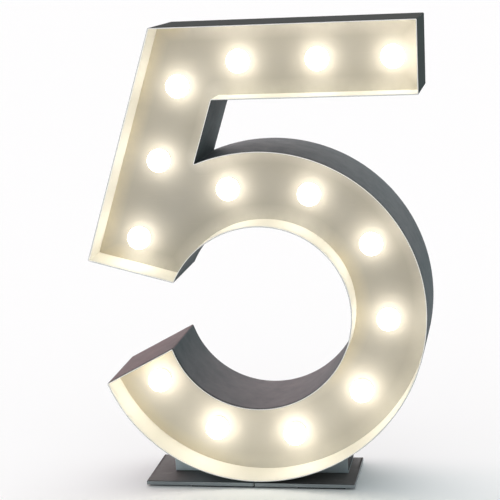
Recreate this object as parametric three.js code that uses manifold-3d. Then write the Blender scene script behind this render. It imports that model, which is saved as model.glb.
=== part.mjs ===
// A marquee number 5: a deep sheet-metal tray in the shape of the figure, lit by a row of round bulbs,
// standing on a cradle and a steel base. Millimetres, +X right, +Z up, the front faces -Y.
import * as THREE from "three";
import { mergeVertices } from "three/addons/utils/BufferGeometryUtils.js";
import Module from "manifold-3d";

const wasm = await Module();
wasm.setup();
const degrees = THREE.MathUtils.degToRad;

// The figure, measured from the middle of its bowl.
const bowlRadius = 440;
const holeRadius = 242;
const holeRight = 4;
const holeUp = 3;
const leanShare = 0.017; // the bowl is drawn out this much along its rising diagonal
const gapUnderBar = 132;
const barHeight = 186.5;
const barShortfall = 8.5; // the bar stops this far short of the bowl's right side
const neckReach = 264.3; // from the middle of the bowl to the line of the neck
const strokeWidth = 204.7;
const strokeSlope = degrees(71.8);
const footSlope = degrees(-15.1);
const footReach = 40.6;
const terminalSlope = degrees(27.7);
const terminalReach = 38;
const arcStep = degrees(5);
const arcEndShare = 0.25; // the shortest last step of an arc, as a share of a whole one

// The tray.
const depth = 260;
const wallSheet = 3;
const panelSetback = 100;
const panelSheet = 3;
const coverSheet = 2;
const coverInset = 10;
const fit = 0.3; // the gap between pieces that touch
const seam = 0.25; // how far a wall stops short of its corner
const overrun = 1; // how far a cutting shape runs past the face it cuts

// The bulbs, which a hand set out a little unevenly. The bar's are at shares of its length from its free
// end. The stroke's are at shares of its length from its foot, and this far to the right of its middle.
// The bowl's are at angles round its hole, and this far outside the middle of its band.
const bulbRadius = 30;
const bulbForward = 32; // from the panel's front to the middle of the globe
const barBulbDrop = 2.3; // the bar's bulbs sit this far below its middle
const barBulbShares = [0.1, 0.3825, 0.683];
const strokeBulbs = [
  [0.751, -3.35],
  [0.444, -1.15],
  [0.117, 0.85],
];
const bowlBulbs = [
  [103.8, 1],
  [67.3, -3.6],
  [31.5, -2.6],
  [-4, -8.6],
  [-39.8, -3.8],
  [-76.6, 1],
  [-112.6, 1],
  [-147.5, -3.4],
];

const bulb = {
  neckRadius: 16,
  neckFootRadius: 15,
  capRadius: 13,
  capLength: 25,
  contactRadius: 5,
  contactLength: 2.5,
  sides: 12,
  rings: 6,
};

const holder = {
  collarRadius: 24,
  collarSheet: 2.5,
  bodyRadius: 19.5,
  bodyLength: 46,
};

// The wiring behind the panel.
const loomRadius = 3.5;
const loomSides = 8;
const loomSteps = 84;
const loomTurn = 26; // half the width of its turns

// The points of its turns, as shares of loomTurn: right of the stroke's last bulb and up the stroke, then
// beyond the last bulb of all and towards the cover.
const strokeTurnShares = [
  [0.35, -1.3],
  [1.6, -0.8],
];
const lastTurnShares = [
  [0.8, 0],
  [1.3, 0],
  [1.7, 0.5],
  [1.3, 1.2],
];
const loomReturnShare = 0.4; // of the way from the inlet to the last bulb

// The cover's spacers and screws.
const spacerRadius = 6;
const spacerSides = 10;
const spacerInset = 45; // from the outline to a spacer's axis
const screw = { radius: 2.2, headRadius: 4.6, headRimRadius: 3.4, headHeight: 2.6, grip: 12 };
const spacerBarShares = [0.24, 0.8];
const spacerStrokeShare = 0.29;
const spacerBowlAngles = [15, -95].map(degrees);

// The power inlet on the cover, at its place round the bowl.
const inlet = {
  angle: degrees(-130),
  width: 28,
  height: 59,
  bodyDepth: 34,
  flangeRim: 3,
  flangeSheet: 3,
  cornerCut: 2,
};
const socket = { width: 24.5, height: 17, depth: 17, corner: 4.5, drop: 17 };
const pin = { width: 2, height: 5, length: 12, spread: 7, earthRise: 4, root: 1 };
const drawer = { width: 21.4, height: 7.4, depth: 15.5, rise: 1.5, lip: 0.8, lipSheet: 1.6, grip: 1.4 };
const rocker = {
  width: 13.2,
  halfLength: 8.8,
  rise: 18.5,
  sink: 2.5, // from the flange's face to the pivot
  tipHeight: 4.7,
  middleHeight: 3.2,
  shoulder: 0.5,
  belly: 5,
  tilt: degrees(10),
  endRoom: 1.4,
  trunnionRadius: 1.2,
  trunnionLength: 1.5,
  sides: 10,
};

// The base and the cradle that carries the bowl.
const cradle = { left: 257, right: 214, front: 83, back: 215, sheet: 3 };
const plate = { left: 319, right: 241, seamLeft: 27, depth: 215, thickness: 10 };
const pad = { thickness: 4, inset: 4, leftFrom: 197, leftTo: 28, rightFrom: 88, rightTo: 215 };
const bolt = { spread: degrees(8), radius: 4, headRadius: 8, headHeight: 5, headSink: 0.5, sides: 12 };
const nut = { radius: 8.5, height: 9 };

const slate = new THREE.MeshStandardMaterial({ color: 0x5f6668, roughness: 0.5, metalness: 0.1 });
const white = new THREE.MeshStandardMaterial({ color: 0xe9e4d4, roughness: 0.55, metalness: 0 });
const frosted = new THREE.MeshStandardMaterial({ color: 0xfff4d8, roughness: 0.3, metalness: 0 });
const ivory = new THREE.MeshStandardMaterial({ color: 0xd9d4c6, roughness: 0.5, metalness: 0 });
const black = new THREE.MeshStandardMaterial({ color: 0x1b1c1d, roughness: 0.45, metalness: 0 });
const zinc = new THREE.MeshStandardMaterial({ color: 0xa9abad, roughness: 0.35, metalness: 0.9 });
const baseGrey = new THREE.MeshStandardMaterial({ color: 0x6e6865, roughness: 0.5, metalness: 0.2 });
const rubber = new THREE.MeshStandardMaterial({ color: 0x141414, roughness: 0.9, metalness: 0 });

// Places that follow from the sizes above.
const barUnderside = bowlRadius + gapUnderBar;
const barTop = barUnderside + barHeight;
const barEnd = bowlRadius - barShortfall;
const panelBack = panelSetback + panelSheet;
const coverBack = depth - coverInset;
const coverFront = coverBack - coverSheet;
const collarFront = panelSetback - fit - holder.collarSheet;
const holderBack = panelBack + holder.bodyLength;
const capFront = collarFront - fit;
const boreRadius = bulb.capRadius + fit / Math.cos(Math.PI / bulb.sides);
const inletBack = coverBack + fit; // the seat of the inlet's flange on the cover
const inletFront = inletBack - inlet.bodyDepth;
const inletFace = inletBack + inlet.flangeSheet;
const cradleUnder = -(bowlRadius + cradle.sheet);
const plateTop = cradleUnder - fit;
const plateUnder = plateTop - plate.thickness;
const loomDepth = holderBack + fit + loomRadius;

// A straight side of the outline: its slope, its distance from the middle of the bowl to its left-hand
// side, and the way to the inside of the figure.
const sides = {
  top: { slope: 0, reach: barTop, inward: -1 },
  barEnd: { slope: Math.PI / 2, reach: -barEnd, inward: 1 },
  barUnderside: { slope: 0, reach: barUnderside, inward: 1 },
  neck: { slope: strokeSlope, reach: neckReach, inward: 1 },
  left: { slope: strokeSlope, reach: neckReach + strokeWidth, inward: -1 },
  foot: { slope: footSlope, reach: footReach, inward: 1 },
  terminal: { slope: terminalSlope, reach: terminalReach, inward: -1 },
};

// A round side of the outline.
const bowl = { radius: bowlRadius, right: 0, up: 0, inward: -1 };
const hole = { radius: holeRadius, right: holeRight, up: holeUp, inward: 1 };

// Where two straight sides meet, each moved inwards by the inset.
function meet(one, other, inset) {
  const a = one.reach + one.inward * inset;
  const b = other.reach + other.inward * inset;
  const turn = Math.sin(other.slope - one.slope);
  return new THREE.Vector2(
    (a * Math.cos(other.slope) - b * Math.cos(one.slope)) / turn,
    (a * Math.sin(other.slope) - b * Math.sin(one.slope)) / turn,
  );
}

// A point of a round side.
function roundPoint(round, angle, inset) {
  const reach = round.radius + round.inward * inset;
  return new THREE.Vector2(
    round.right + reach * (Math.cos(angle) + leanShare * Math.sin(angle)),
    round.up + reach * (Math.sin(angle) + leanShare * Math.cos(angle)),
  );
}

// The angle at which a straight side meets a round one; way picks one of the two crossings.
function meetAngle(side, round, way, inset) {
  const reach = side.reach + side.inward * inset;
  const across = leanShare * Math.cos(side.slope) - Math.sin(side.slope);
  const up = Math.cos(side.slope) - leanShare * Math.sin(side.slope);
  const rest = reach + round.right * Math.sin(side.slope) - round.up * Math.cos(side.slope);
  const radius = round.radius + round.inward * inset;
  return Math.atan2(up, across) + way * Math.acos(rest / (radius * Math.hypot(across, up)));
}

const fullTurn = 2 * Math.PI;
const neckAngle = (inset) => meetAngle(sides.neck, bowl, -1, inset);
const terminalBowlAngle = (inset) => meetAngle(sides.terminal, bowl, 1, inset) - fullTurn;
const terminalHoleAngle = (inset) => meetAngle(sides.terminal, hole, 1, inset) - fullTurn;
const footHoleAngle = (inset) => meetAngle(sides.foot, hole, 1, inset);

const corners = {
  topLeft: (inset) => meet(sides.left, sides.top, inset),
  topRight: (inset) => meet(sides.barEnd, sides.top, inset),
  barLow: (inset) => meet(sides.barEnd, sides.barUnderside, inset),
  inner: (inset) => meet(sides.neck, sides.barUnderside, inset),
  neckFoot: (inset) => roundPoint(bowl, neckAngle(inset), inset),
  terminalOuter: (inset) => roundPoint(bowl, terminalBowlAngle(inset), inset),
  terminalInner: (inset) => roundPoint(hole, terminalHoleAngle(inset), inset),
  footRight: (inset) => roundPoint(hole, footHoleAngle(inset), inset),
  footLeft: (inset) => meet(sides.left, sides.foot, inset),
};

// The points of a round side from one angle to another, with a point at every whole step between them.
function arc(round, from, to, inset) {
  const way = Math.sign(to - from);
  const first = Math.floor((way * from) / arcStep + arcEndShare) + 1;
  const last = Math.ceil((way * to) / arcStep - arcEndShare) - 1;
  const angles = [from];
  for (let k = first; k <= last; k++) {
    angles.push(way * k * arcStep);
  }
  return [...angles, to].map((angle) => roundPoint(round, angle, inset));
}

const bowlArc = (inset) => arc(bowl, neckAngle(inset), terminalBowlAngle(inset), inset);
const holeArc = (inset) => arc(hole, terminalHoleAngle(inset), footHoleAngle(inset), inset);

// The whole outline of the figure, moved inwards by the inset.
function outline(inset) {
  const straight = [corners.footLeft, corners.topLeft, corners.topRight, corners.barLow, corners.inner];
  return [...straight.map((corner) => corner(inset)), ...bowlArc(inset), ...holeArc(inset)];
}

// A flat outline, seen from the front, made into a sheet that starts at y and is this thick.
function upright(points, y, thickness) {
  const shape = new THREE.Shape(points);
  const geometry = new THREE.ExtrudeGeometry(shape, { depth: thickness, bevelEnabled: false });
  return geometry.rotateX(Math.PI / 2).translate(0, y + thickness, 0);
}

function circle(at, radius, count) {
  const turns = Array.from({ length: count }, (_, k) => (k / count) * fullTurn);
  return turns.map((turn) => {
    return new THREE.Vector2(at.x + radius * Math.sin(turn), at.y + radius * Math.cos(turn));
  });
}

// A box from its lowest to its highest corner.
function box(from, to) {
  const size = to.map((high, k) => high - from[k]);
  const middle = to.map((high, k) => (high + from[k]) / 2);
  return new THREE.BoxGeometry(...size).translate(...middle);
}

// A turned piece whose axis runs front to back through a place on the figure.
function turned(profile, count, at) {
  const points = profile.map(([radius, y]) => new THREE.Vector2(radius, y));
  return new THREE.LatheGeometry(points, count).translate(at.x, 0, at.y);
}

// An upright cylinder between two heights.
function post([across, back], radius, count, low, high) {
  const geometry = new THREE.CylinderGeometry(radius, radius, high - low, count);
  return geometry.rotateX(Math.PI / 2).translate(across, back, (low + high) / 2);
}

function toSolid(geometry) {
  const bare = geometry.clone();
  bare.deleteAttribute("normal");
  bare.deleteAttribute("uv");
  const merged = mergeVertices(bare);
  const vertProperties = merged.attributes.position.array;
  const triVerts = new Uint32Array(merged.index.array);
  return new wasm.Manifold(new wasm.Mesh({ numProp: 3, vertProperties, triVerts }));
}

function toGeometry(solid) {
  const mesh = solid.getMesh();
  const geometry = new THREE.BufferGeometry();
  geometry.setAttribute("position", new THREE.BufferAttribute(mesh.vertProperties, 3));
  geometry.setIndex(new THREE.BufferAttribute(mesh.triVerts, 1));
  return geometry;
}

// Joins the first list of geometries and cuts the second out of them.
function joinAndCut(joined, cut) {
  const whole = joined.map(toSolid).reduce((sum, solid) => sum.add(solid));
  return toGeometry(cut.map(toSolid).reduce((rest, solid) => rest.subtract(solid), whole));
}

// A sheet that fills the tray from wall to wall, with holes in it.
function piercedSheet(y, thickness, holes) {
  const cuts = holes.map((points) => upright(points, y - overrun, thickness + overrun + overrun));
  return joinAndCut([upright(outline(wallSheet + fit), y, thickness)], cuts);
}

const figure = new THREE.Group();

function place(name, geometry, material) {
  const mesh = new THREE.Mesh(geometry, material);
  mesh.name = name;
  figure.add(mesh);
}

// A straight wall between two corners, mitred at both ends.
function straightWall(from, to) {
  const gap = to(0).sub(from(0)).setLength(seam);
  const outside = [from(0).add(gap), to(0).sub(gap)];
  const inside = [to(wallSheet).sub(gap), from(wallSheet).add(gap)];
  return upright([...outside, ...inside], 0, depth);
}

// A round wall between two corner angles, which depend on the inset.
function roundWall(round, from, to) {
  const gap = (Math.sign(to(0) - from(0)) * seam) / round.radius;
  const faces = [0, wallSheet].map((inset) => arc(round, from(inset) + gap, to(inset) - gap, inset));
  return upright([...faces[0], ...faces[1].reverse()], 0, depth);
}

// Where each of the two bolts of the base comes up through the bowl's wall.
function boltPlace(side) {
  const angle = side * bolt.spread - Math.PI / 2;
  const point = roundPoint(bowl, angle, wallSheet / 2);
  return { centre: [point.x, (cradle.front + cradle.back) / 2], height: point.y };
}

const boltPlaces = { left: boltPlace(-1), right: boltPlace(1) };

// The bowl's outer wall has two nuts welded inside it, for the bolts of the base.
function bowlWall() {
  const nuts = [];
  const bores = [];
  for (const { centre, height } of Object.values(boltPlaces)) {
    nuts.push(post(centre, nut.radius, bolt.sides, height, height + nut.height));
    const low = height - wallSheet - overrun;
    bores.push(post(centre, bolt.radius + fit, bolt.sides, low, height + nut.height + overrun));
  }
  return joinAndCut([roundWall(bowl, neckAngle, terminalBowlAngle), ...nuts], bores);
}

function walls() {
  place("wall_top", straightWall(corners.topLeft, corners.topRight), slate);
  place("wall_bar_end", straightWall(corners.topRight, corners.barLow), slate);
  place("wall_bar_underside", straightWall(corners.barLow, corners.inner), slate);
  place("wall_neck", straightWall(corners.inner, corners.neckFoot), slate);
  place("wall_bowl_outside", bowlWall(), slate);
  place("wall_terminal", straightWall(corners.terminalOuter, corners.terminalInner), slate);
  place("wall_bowl_inside", roundWall(hole, terminalHoleAngle, footHoleAngle), slate);
  place("wall_foot", straightWall(corners.footRight, corners.footLeft), slate);
  place("wall_left_side", straightWall(corners.footLeft, corners.topLeft), slate);
}

// A point of the left stroke: a share of its length from the foot, and its distance from the left side.
function strokePoint(share, inset) {
  const line = { slope: strokeSlope, reach: sides.left.reach, inward: -1 };
  const low = meet(line, { ...sides.foot, inward: 0 }, inset);
  const high = meet(line, { ...sides.top, inward: 0 }, inset);
  return low.lerp(high, share);
}

// A point of the bar: a share of its length from the free end, and its height.
function barPoint(share, height) {
  return new THREE.Vector2(THREE.MathUtils.lerp(barEnd, corners.topLeft(0).x, share), height);
}

function bulbPlaces() {
  const barRow = barUnderside + barHeight / 2 - barBulbDrop;
  const bandMiddle = (bowlRadius - holeRadius) / 2;
  return [
    ...barBulbShares.map((share) => barPoint(share, barRow)),
    ...strokeBulbs.map(([share, aside]) => strokePoint(share, strokeWidth / 2 + aside)),
    ...bowlBulbs.map(([angle, aside]) => roundPoint(hole, degrees(angle), bandMiddle + aside)),
  ];
}

function spacerPlaces() {
  return [
    ...spacerBarShares.map((share) => barPoint(share, barTop - spacerInset)),
    strokePoint(spacerStrokeShare, spacerInset),
    ...spacerBowlAngles.map((angle) => roundPoint(bowl, angle, spacerInset)),
  ];
}

const bulbsAt = bulbPlaces();
const spacersAt = spacerPlaces();
const inletAt = roundPoint(hole, inlet.angle, (bowlRadius - holeRadius) / 2);
const twoDigits = (k) => String(k + 1).padStart(2, "0");

function facePanel() {
  const holes = bulbsAt.map((at) => circle(at, holder.bodyRadius + fit, bulb.sides));
  return piercedSheet(panelSetback, panelSheet, holes);
}

// The turned profiles run from the front face out and back, so that the faces point out.
function lampholder(at) {
  const boreEnd = capFront + bulb.capLength + bulb.contactLength + fit;
  return turned(
    [
      [0, boreEnd],
      [boreRadius, boreEnd],
      [boreRadius, collarFront],
      [holder.collarRadius, collarFront],
      [holder.collarRadius, collarFront + holder.collarSheet],
      [holder.bodyRadius, collarFront + holder.collarSheet],
      [holder.bodyRadius, holderBack],
      [0, holderBack],
    ],
    bulb.sides,
    at,
  );
}

function globeBulb(at) {
  const middle = panelSetback - bulbForward;
  const neckTurn = Math.PI - Math.asin(bulb.neckRadius / bulbRadius);
  const globe = Array.from({ length: bulb.rings + 1 }, (_, k) => {
    const turn = (k / bulb.rings) * neckTurn;
    return [bulbRadius * Math.sin(turn), middle - bulbRadius * Math.cos(turn)];
  });
  const capBack = capFront + bulb.capLength;
  const foot = [
    [bulb.neckFootRadius, capFront],
    [bulb.capRadius, capFront],
    [bulb.capRadius, capBack],
    [bulb.contactRadius, capBack],
    [bulb.contactRadius, capBack + bulb.contactLength],
    [0, capBack + bulb.contactLength],
  ];
  return turned([...globe, ...foot], bulb.sides, at);
}

function lamps() {
  bulbsAt.forEach((at, k) => {
    place(`lampholder_${twoDigits(k)}`, lampholder(at), ivory);
    place(`bulb_${twoDigits(k)}`, globeBulb(at), frosted);
  });
}

// The loom rests on the back of each lampholder in turn. It turns back below the lowest bulb of the
// stroke, and after the last bulb it turns round to the back of the inlet.
function loomRoute() {
  const strokeCount = barBulbShares.length + strokeBulbs.length;
  const strokeEnd = bulbsAt[strokeCount - 1];
  const last = bulbsAt[bulbsAt.length - 1];
  const upStroke = new THREE.Vector2(Math.cos(strokeSlope), Math.sin(strokeSlope)).setLength(loomTurn);
  const aside = new THREE.Vector2(upStroke.y, -upStroke.x);
  const ahead = last.clone().sub(bulbsAt[bulbsAt.length - 2]).setLength(loomTurn);
  const end = inletFront - fit;
  const spot = (at, y) => new THREE.Vector3(at.x, y, at.y);
  const strokeTurn = strokeTurnShares.map(([right, up]) => {
    return spot(strokeEnd.clone().addScaledVector(aside, right).addScaledVector(upStroke, up), loomDepth);
  });
  const lastTurn = lastTurnShares.map(([beyond, back]) => {
    return spot(last.clone().addScaledVector(ahead, beyond), loomDepth + loomTurn * back);
  });
  const points = bulbsAt.map((at) => spot(at, loomDepth));
  points.splice(strokeCount, 0, ...strokeTurn);
  points.push(...lastTurn);
  points.push(spot(inletAt.clone().lerp(last, loomReturnShare), end - loomTurn));
  points.push(spot(inletAt, end - loomTurn / 2));
  points.push(spot(inletAt, end));
  return new THREE.CatmullRomCurve3(points, false, "centripetal");
}

function wiringLoom() {
  const shape = new THREE.Shape(circle(new THREE.Vector2(), loomRadius, loomSides));
  const options = { extrudePath: loomRoute(), steps: loomSteps, bevelEnabled: false };
  return new THREE.ExtrudeGeometry(shape, options);
}

function spacer(at) {
  const front = panelBack + fit;
  const back = coverFront - fit;
  return turned(
    [
      [0, front],
      [spacerRadius, front],
      [spacerRadius, back],
      [screw.radius + fit, back],
      [screw.radius + fit, back - screw.grip],
      [0, back - screw.grip],
    ],
    spacerSides,
    at,
  );
}

function coverScrew(at) {
  const underHead = coverBack + fit;
  const tip = coverFront - screw.grip + fit;
  return turned(
    [
      [0, tip],
      [screw.radius, tip],
      [screw.radius, underHead],
      [screw.headRadius, underHead],
      [screw.headRimRadius, underHead + screw.headHeight],
      [0, underHead + screw.headHeight],
    ],
    spacerSides,
    at,
  );
}

// A rectangle with its corners cut off, round a middle point.
function cutRectangle(middle, width, height, cut) {
  const [x, z] = [width / 2, height / 2];
  const points = [
    [x - cut, z],
    [x, z - cut],
    [x, cut - z],
    [x - cut, -z],
    [cut - x, -z],
    [-x, cut - z],
    [-x, z - cut],
    [cut - x, z],
  ];
  return points.map(([right, up]) => new THREE.Vector2(middle.x + right, middle.y + up));
}

const above = (at, rise) => new THREE.Vector2(at.x, at.y + rise);

function rearCover() {
  const holes = spacersAt.map((at) => circle(at, screw.radius + fit, spacerSides));
  holes.push(cutRectangle(inletAt, inlet.width + fit + fit, inlet.height + fit + fit, inlet.cornerCut));
  return piercedSheet(coverFront, coverSheet, holes);
}

const rockerPivot = { height: inletAt.y + rocker.rise, depth: inletFace - rocker.sink };

// The inlet's body with its socket and pins, its rocker's pocket and its fuse drawer's slot.
function powerInlet() {
  const body = cutRectangle(inletAt, inlet.width, inlet.height, inlet.cornerCut);
  const [wide, tall] = [inlet.width, inlet.height].map((size) => size + inlet.flangeRim * 2);
  const flange = cutRectangle(inletAt, wide, tall, inlet.cornerCut);
  const whole = [
    upright(body, inletFront, inlet.bodyDepth + fit),
    upright(flange, inletBack, inlet.flangeSheet),
  ];
  const socketAt = above(inletAt, -socket.drop);
  const socketShape = cutRectangle(socketAt, socket.width, socket.height, socket.corner);
  const slotAt = above(inletAt, drawer.rise);
  const slot = cutRectangle(slotAt, drawer.width + fit + fit, drawer.height + fit + fit, fit);
  const pocketAt = above(inletAt, rocker.rise);
  const pocketLength = (rocker.halfLength + rocker.endRoom) * 2;
  const pocket = cutRectangle(pocketAt, rocker.width + fit + fit, pocketLength, fit);
  const pocketDepth = rocker.sink + rocker.belly + rocker.endRoom;
  const cuts = [
    upright(socketShape, inletFace - socket.depth, socket.depth + overrun),
    upright(slot, inletFace - drawer.depth - fit, drawer.depth + fit + overrun),
    upright(pocket, inletFace - pocketDepth, pocketDepth + overrun),
    trunnion(rocker.trunnionRadius + fit, rocker.width / 2 + rocker.trunnionLength + fit),
  ];
  const pins = [-1, 0, 1].map((side) => {
    const rise = side === 0 ? pin.earthRise : -pin.earthRise / 2;
    const at = new THREE.Vector2(socketAt.x + side * pin.spread, socketAt.y + rise);
    const start = inletFace - socket.depth - pin.root;
    return upright(cutRectangle(at, pin.width, pin.height, fit), start, pin.length + pin.root);
  });
  const bare = toSolid(joinAndCut(whole, cuts));
  return toGeometry(pins.map(toSolid).reduce((sum, solid) => sum.add(solid), bare));
}

// The rocker's axle, from side to side through its pivot.
function trunnion(radius, halfLength) {
  const rod = new THREE.CylinderGeometry(radius, radius, halfLength * 2, rocker.sides);
  return rod.rotateZ(Math.PI / 2).translate(inletAt.x, rockerPivot.depth, rockerPivot.height);
}

// The rocker seen from its side, tipped to its off stop.
function rockerSwitch() {
  const half = [
    [0, rocker.middleHeight],
    [rocker.halfLength, rocker.tipHeight],
    [rocker.halfLength, -rocker.shoulder],
    [rocker.halfLength / 2, -rocker.belly],
  ];
  const mirrored = half.slice(1).reverse();
  const side = [...half, ...mirrored.map(([along, out]) => [-along, out])];
  const shape = new THREE.Shape(side.map(([along, out]) => new THREE.Vector2(along, out)));
  const geometry = new THREE.ExtrudeGeometry(shape, { depth: rocker.width, bevelEnabled: false });
  geometry.translate(0, 0, -rocker.width / 2).rotateZ(rocker.tilt);
  const turn = new THREE.Matrix4().makeBasis(
    new THREE.Vector3(0, 0, 1),
    new THREE.Vector3(0, 1, 0),
    new THREE.Vector3(-1, 0, 0),
  );
  geometry.applyMatrix4(turn);
  geometry.translate(inletAt.x, rockerPivot.depth, rockerPivot.height);
  const axle = trunnion(rocker.trunnionRadius, rocker.width / 2 + rocker.trunnionLength);
  return joinAndCut([geometry, axle], []);
}

// The drawer fills its slot. Its lip lies on the flange and has a ridge to pull it by.
function fuseDrawer() {
  const at = above(inletAt, drawer.rise);
  const block = cutRectangle(at, drawer.width, drawer.height, fit);
  const [wide, tall] = [drawer.width, drawer.height].map((size) => size + drawer.lip * 2);
  const lip = cutRectangle(at, wide, tall, fit);
  const ridge = cutRectangle(at, drawer.width / 2, drawer.grip, fit);
  const lipStart = inletFace + fit;
  const lipEnd = lipStart + drawer.lipSheet;
  const parts = [
    upright(block, inletFace - drawer.depth, drawer.depth + fit + drawer.lipSheet / 2),
    upright(lip, lipStart, drawer.lipSheet),
    upright(ridge, lipEnd - drawer.lipSheet / 2, drawer.lipSheet / 2 + drawer.grip),
  ];
  return joinAndCut(parts, []);
}

function inletParts() {
  place("power_inlet", powerInlet(), black);
  place("rocker_switch", rockerSwitch(), black);
  place("fuse_drawer", fuseDrawer(), black);
}

// The cradle is an open-topped box of folded sheet. Its front and back follow the bowl.
function cradleBox() {
  const reach = [-cradle.left, cradle.right];
  const upstand = (across) => ({ slope: Math.PI / 2, reach: -across, inward: 0 });
  const [leftAngle, rightAngle] = reach.map((across) => meetAngle(upstand(across), bowl, 1, -fit));
  const follow = arc(bowl, rightAngle, leftAngle, -fit);
  const under = reach.map((across) => new THREE.Vector2(across, cradleUnder));
  const whole = upright([...under, ...follow], cradle.front, cradle.back - cradle.front);
  const hollow = box(
    [reach[0] + cradle.sheet, cradle.front + cradle.sheet, cradleUnder + cradle.sheet],
    [reach[1] - cradle.sheet, cradle.back - cradle.sheet, 0],
  );
  const bores = Object.values(boltPlaces).map(({ centre }) => {
    const high = cradleUnder + cradle.sheet + overrun;
    return post(centre, bolt.radius + fit, bolt.sides, cradleUnder - overrun, high);
  });
  return joinAndCut([whole], [hollow, ...bores]);
}

// One half of the base plate, with a bolt hole and a pocket for the bolt's head under it.
function basePlate({ centre }, from, to) {
  const pocketTop = plateUnder + bolt.headSink + bolt.headHeight + fit;
  return joinAndCut(
    [box([from, 0, plateUnder], [to, plate.depth, plateTop])],
    [
      post(centre, bolt.radius + fit, bolt.sides, plateUnder - overrun, plateTop + overrun),
      post(centre, bolt.headRadius + fit, bolt.sides, plateUnder - overrun, pocketTop),
    ],
  );
}

function baseBolt({ centre, height }) {
  const headLow = plateUnder + bolt.headSink;
  const headTop = headLow + bolt.headHeight;
  const parts = [
    post(centre, bolt.headRadius, bolt.sides, headLow, headTop),
    post(centre, bolt.radius, bolt.sides, headTop - overrun, height + nut.height),
  ];
  return joinAndCut(parts, []);
}

function rubberPad(from, to) {
  const top = plateUnder - fit;
  return box([from, pad.inset, top - pad.thickness], [to, plate.depth - pad.inset, top]);
}

function base() {
  const { left, right } = boltPlaces;
  place("cradle", cradleBox(), baseGrey);
  place("base_plate_left", basePlate(left, -plate.left, -plate.seamLeft - fit / 2), baseGrey);
  place("base_plate_right", basePlate(right, -plate.seamLeft + fit / 2, plate.right), baseGrey);
  place("base_bolt_left", baseBolt(left), zinc);
  place("base_bolt_right", baseBolt(right), zinc);
  place("rubber_pad_left", rubberPad(-pad.leftFrom, -pad.leftTo), rubber);
  place("rubber_pad_right", rubberPad(pad.rightFrom, pad.rightTo), rubber);
}

walls();
place("face_panel", facePanel(), white);
lamps();
place("wiring_loom", wiringLoom(), black);
spacersAt.forEach((at, k) => {
  place(`cover_spacer_${k + 1}`, spacer(at), zinc);
  place(`cover_screw_${k + 1}`, coverScrew(at), zinc);
});
place("rear_cover", rearCover(), slate);
inletParts();
base();

// The origin is on the floor, in the middle of the whole object.
const extent = new THREE.Box3().setFromObject(figure);
const centre = extent.getCenter(new THREE.Vector3());
figure.position.set(-centre.x, -centre.y, -extent.min.z);

const marqueeNumber = new THREE.Group();
marqueeNumber.add(figure);

export default marqueeNumber;
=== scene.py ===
import math
import bmesh
import bpy
from mathutils import Matrix, Vector
from mathutils.geometry import tessellate_polygon


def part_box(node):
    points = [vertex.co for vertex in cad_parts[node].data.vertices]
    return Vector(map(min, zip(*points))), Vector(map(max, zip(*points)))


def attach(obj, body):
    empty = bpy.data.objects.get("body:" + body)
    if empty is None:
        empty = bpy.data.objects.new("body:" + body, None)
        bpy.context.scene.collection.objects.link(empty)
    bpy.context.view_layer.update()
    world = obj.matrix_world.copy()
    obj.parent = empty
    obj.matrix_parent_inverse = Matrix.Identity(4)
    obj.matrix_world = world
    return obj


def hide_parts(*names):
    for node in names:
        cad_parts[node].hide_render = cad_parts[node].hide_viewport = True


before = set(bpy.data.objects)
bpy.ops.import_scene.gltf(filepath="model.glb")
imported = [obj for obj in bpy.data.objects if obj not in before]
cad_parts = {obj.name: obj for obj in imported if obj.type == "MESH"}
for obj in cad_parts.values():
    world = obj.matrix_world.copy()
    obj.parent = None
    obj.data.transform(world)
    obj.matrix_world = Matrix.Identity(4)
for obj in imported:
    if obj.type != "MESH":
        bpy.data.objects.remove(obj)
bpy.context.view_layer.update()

# A lit marquee number 5. Sizes are in millimetres from the middle of the bowl at the front of the tray:
# right, back and up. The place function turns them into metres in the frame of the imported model.
millimetre = 0.001

# The outline of the figure.
figure = {
    "bowlRadius": 440, "holeRadius": 242, "holeRight": 4, "holeUp": 3, "lean": 0.017,
    "gapUnderBar": 132, "barHeight": 186.5, "barShortfall": 8.5,
    "neckReach": 264.3, "strokeWidth": 204.7, "strokeSlope": 71.8,
    "footSlope": -15.1, "footReach": 40.6, "terminalSlope": 27.7, "terminalReach": 38,
}
barUnder = figure["bowlRadius"] + figure["gapUnderBar"]
barTop = barUnder + figure["barHeight"]
barEnd = figure["bowlRadius"] - figure["barShortfall"]
origin = Vector((
    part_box("wall_bar_end")[1].x - barEnd * millimetre,
    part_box("wall_top")[0].y,
    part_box("wall_top")[1].z - barTop * millimetre,
))

# The sheets that fill the tray from wall to wall: the face panel and the rear cover.
sheets = {
    "inset": 3.15, "arcCount": 188, "edgeRound": 0.3,
    "panelFront": 100, "panelBack": 103, "panelBand": 40, "holeRadius": 19.8,
    "coverFront": 248, "coverBack": 250, "screwHole": 2.5, "screwInset": 13, "inletHole": (28.6, 59.6, 2),
}


def local(right, back, up):
    return Vector((right, back, up)) * millimetre


def place(right, back, up):
    return origin + local(right, back, up)


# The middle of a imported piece.
def middleOf(node):
    low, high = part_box(node)
    return ((low + high) / 2 - origin) / millimetre


bulbNames = [f"bulb_{k:02d}" for k in range(1, 15)]
bulbSpots = [middleOf(name).xz for name in bulbNames]
screwSpots = [middleOf(f"cover_screw_{k}").xz for k in range(1, 6)]
inletSpot = middleOf("power_inlet").xz


# The camera, fitted to the edges that the photo shows.
view = {
    "position": (700.964, -3786.463, 970.330),
    "yaw": 10.610,
    "pitch": 11.506,
    "roll": -2.674,
    "lens": 110.535,
    "sensor": 36,
    "clipEnd": 3000,
}


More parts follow.
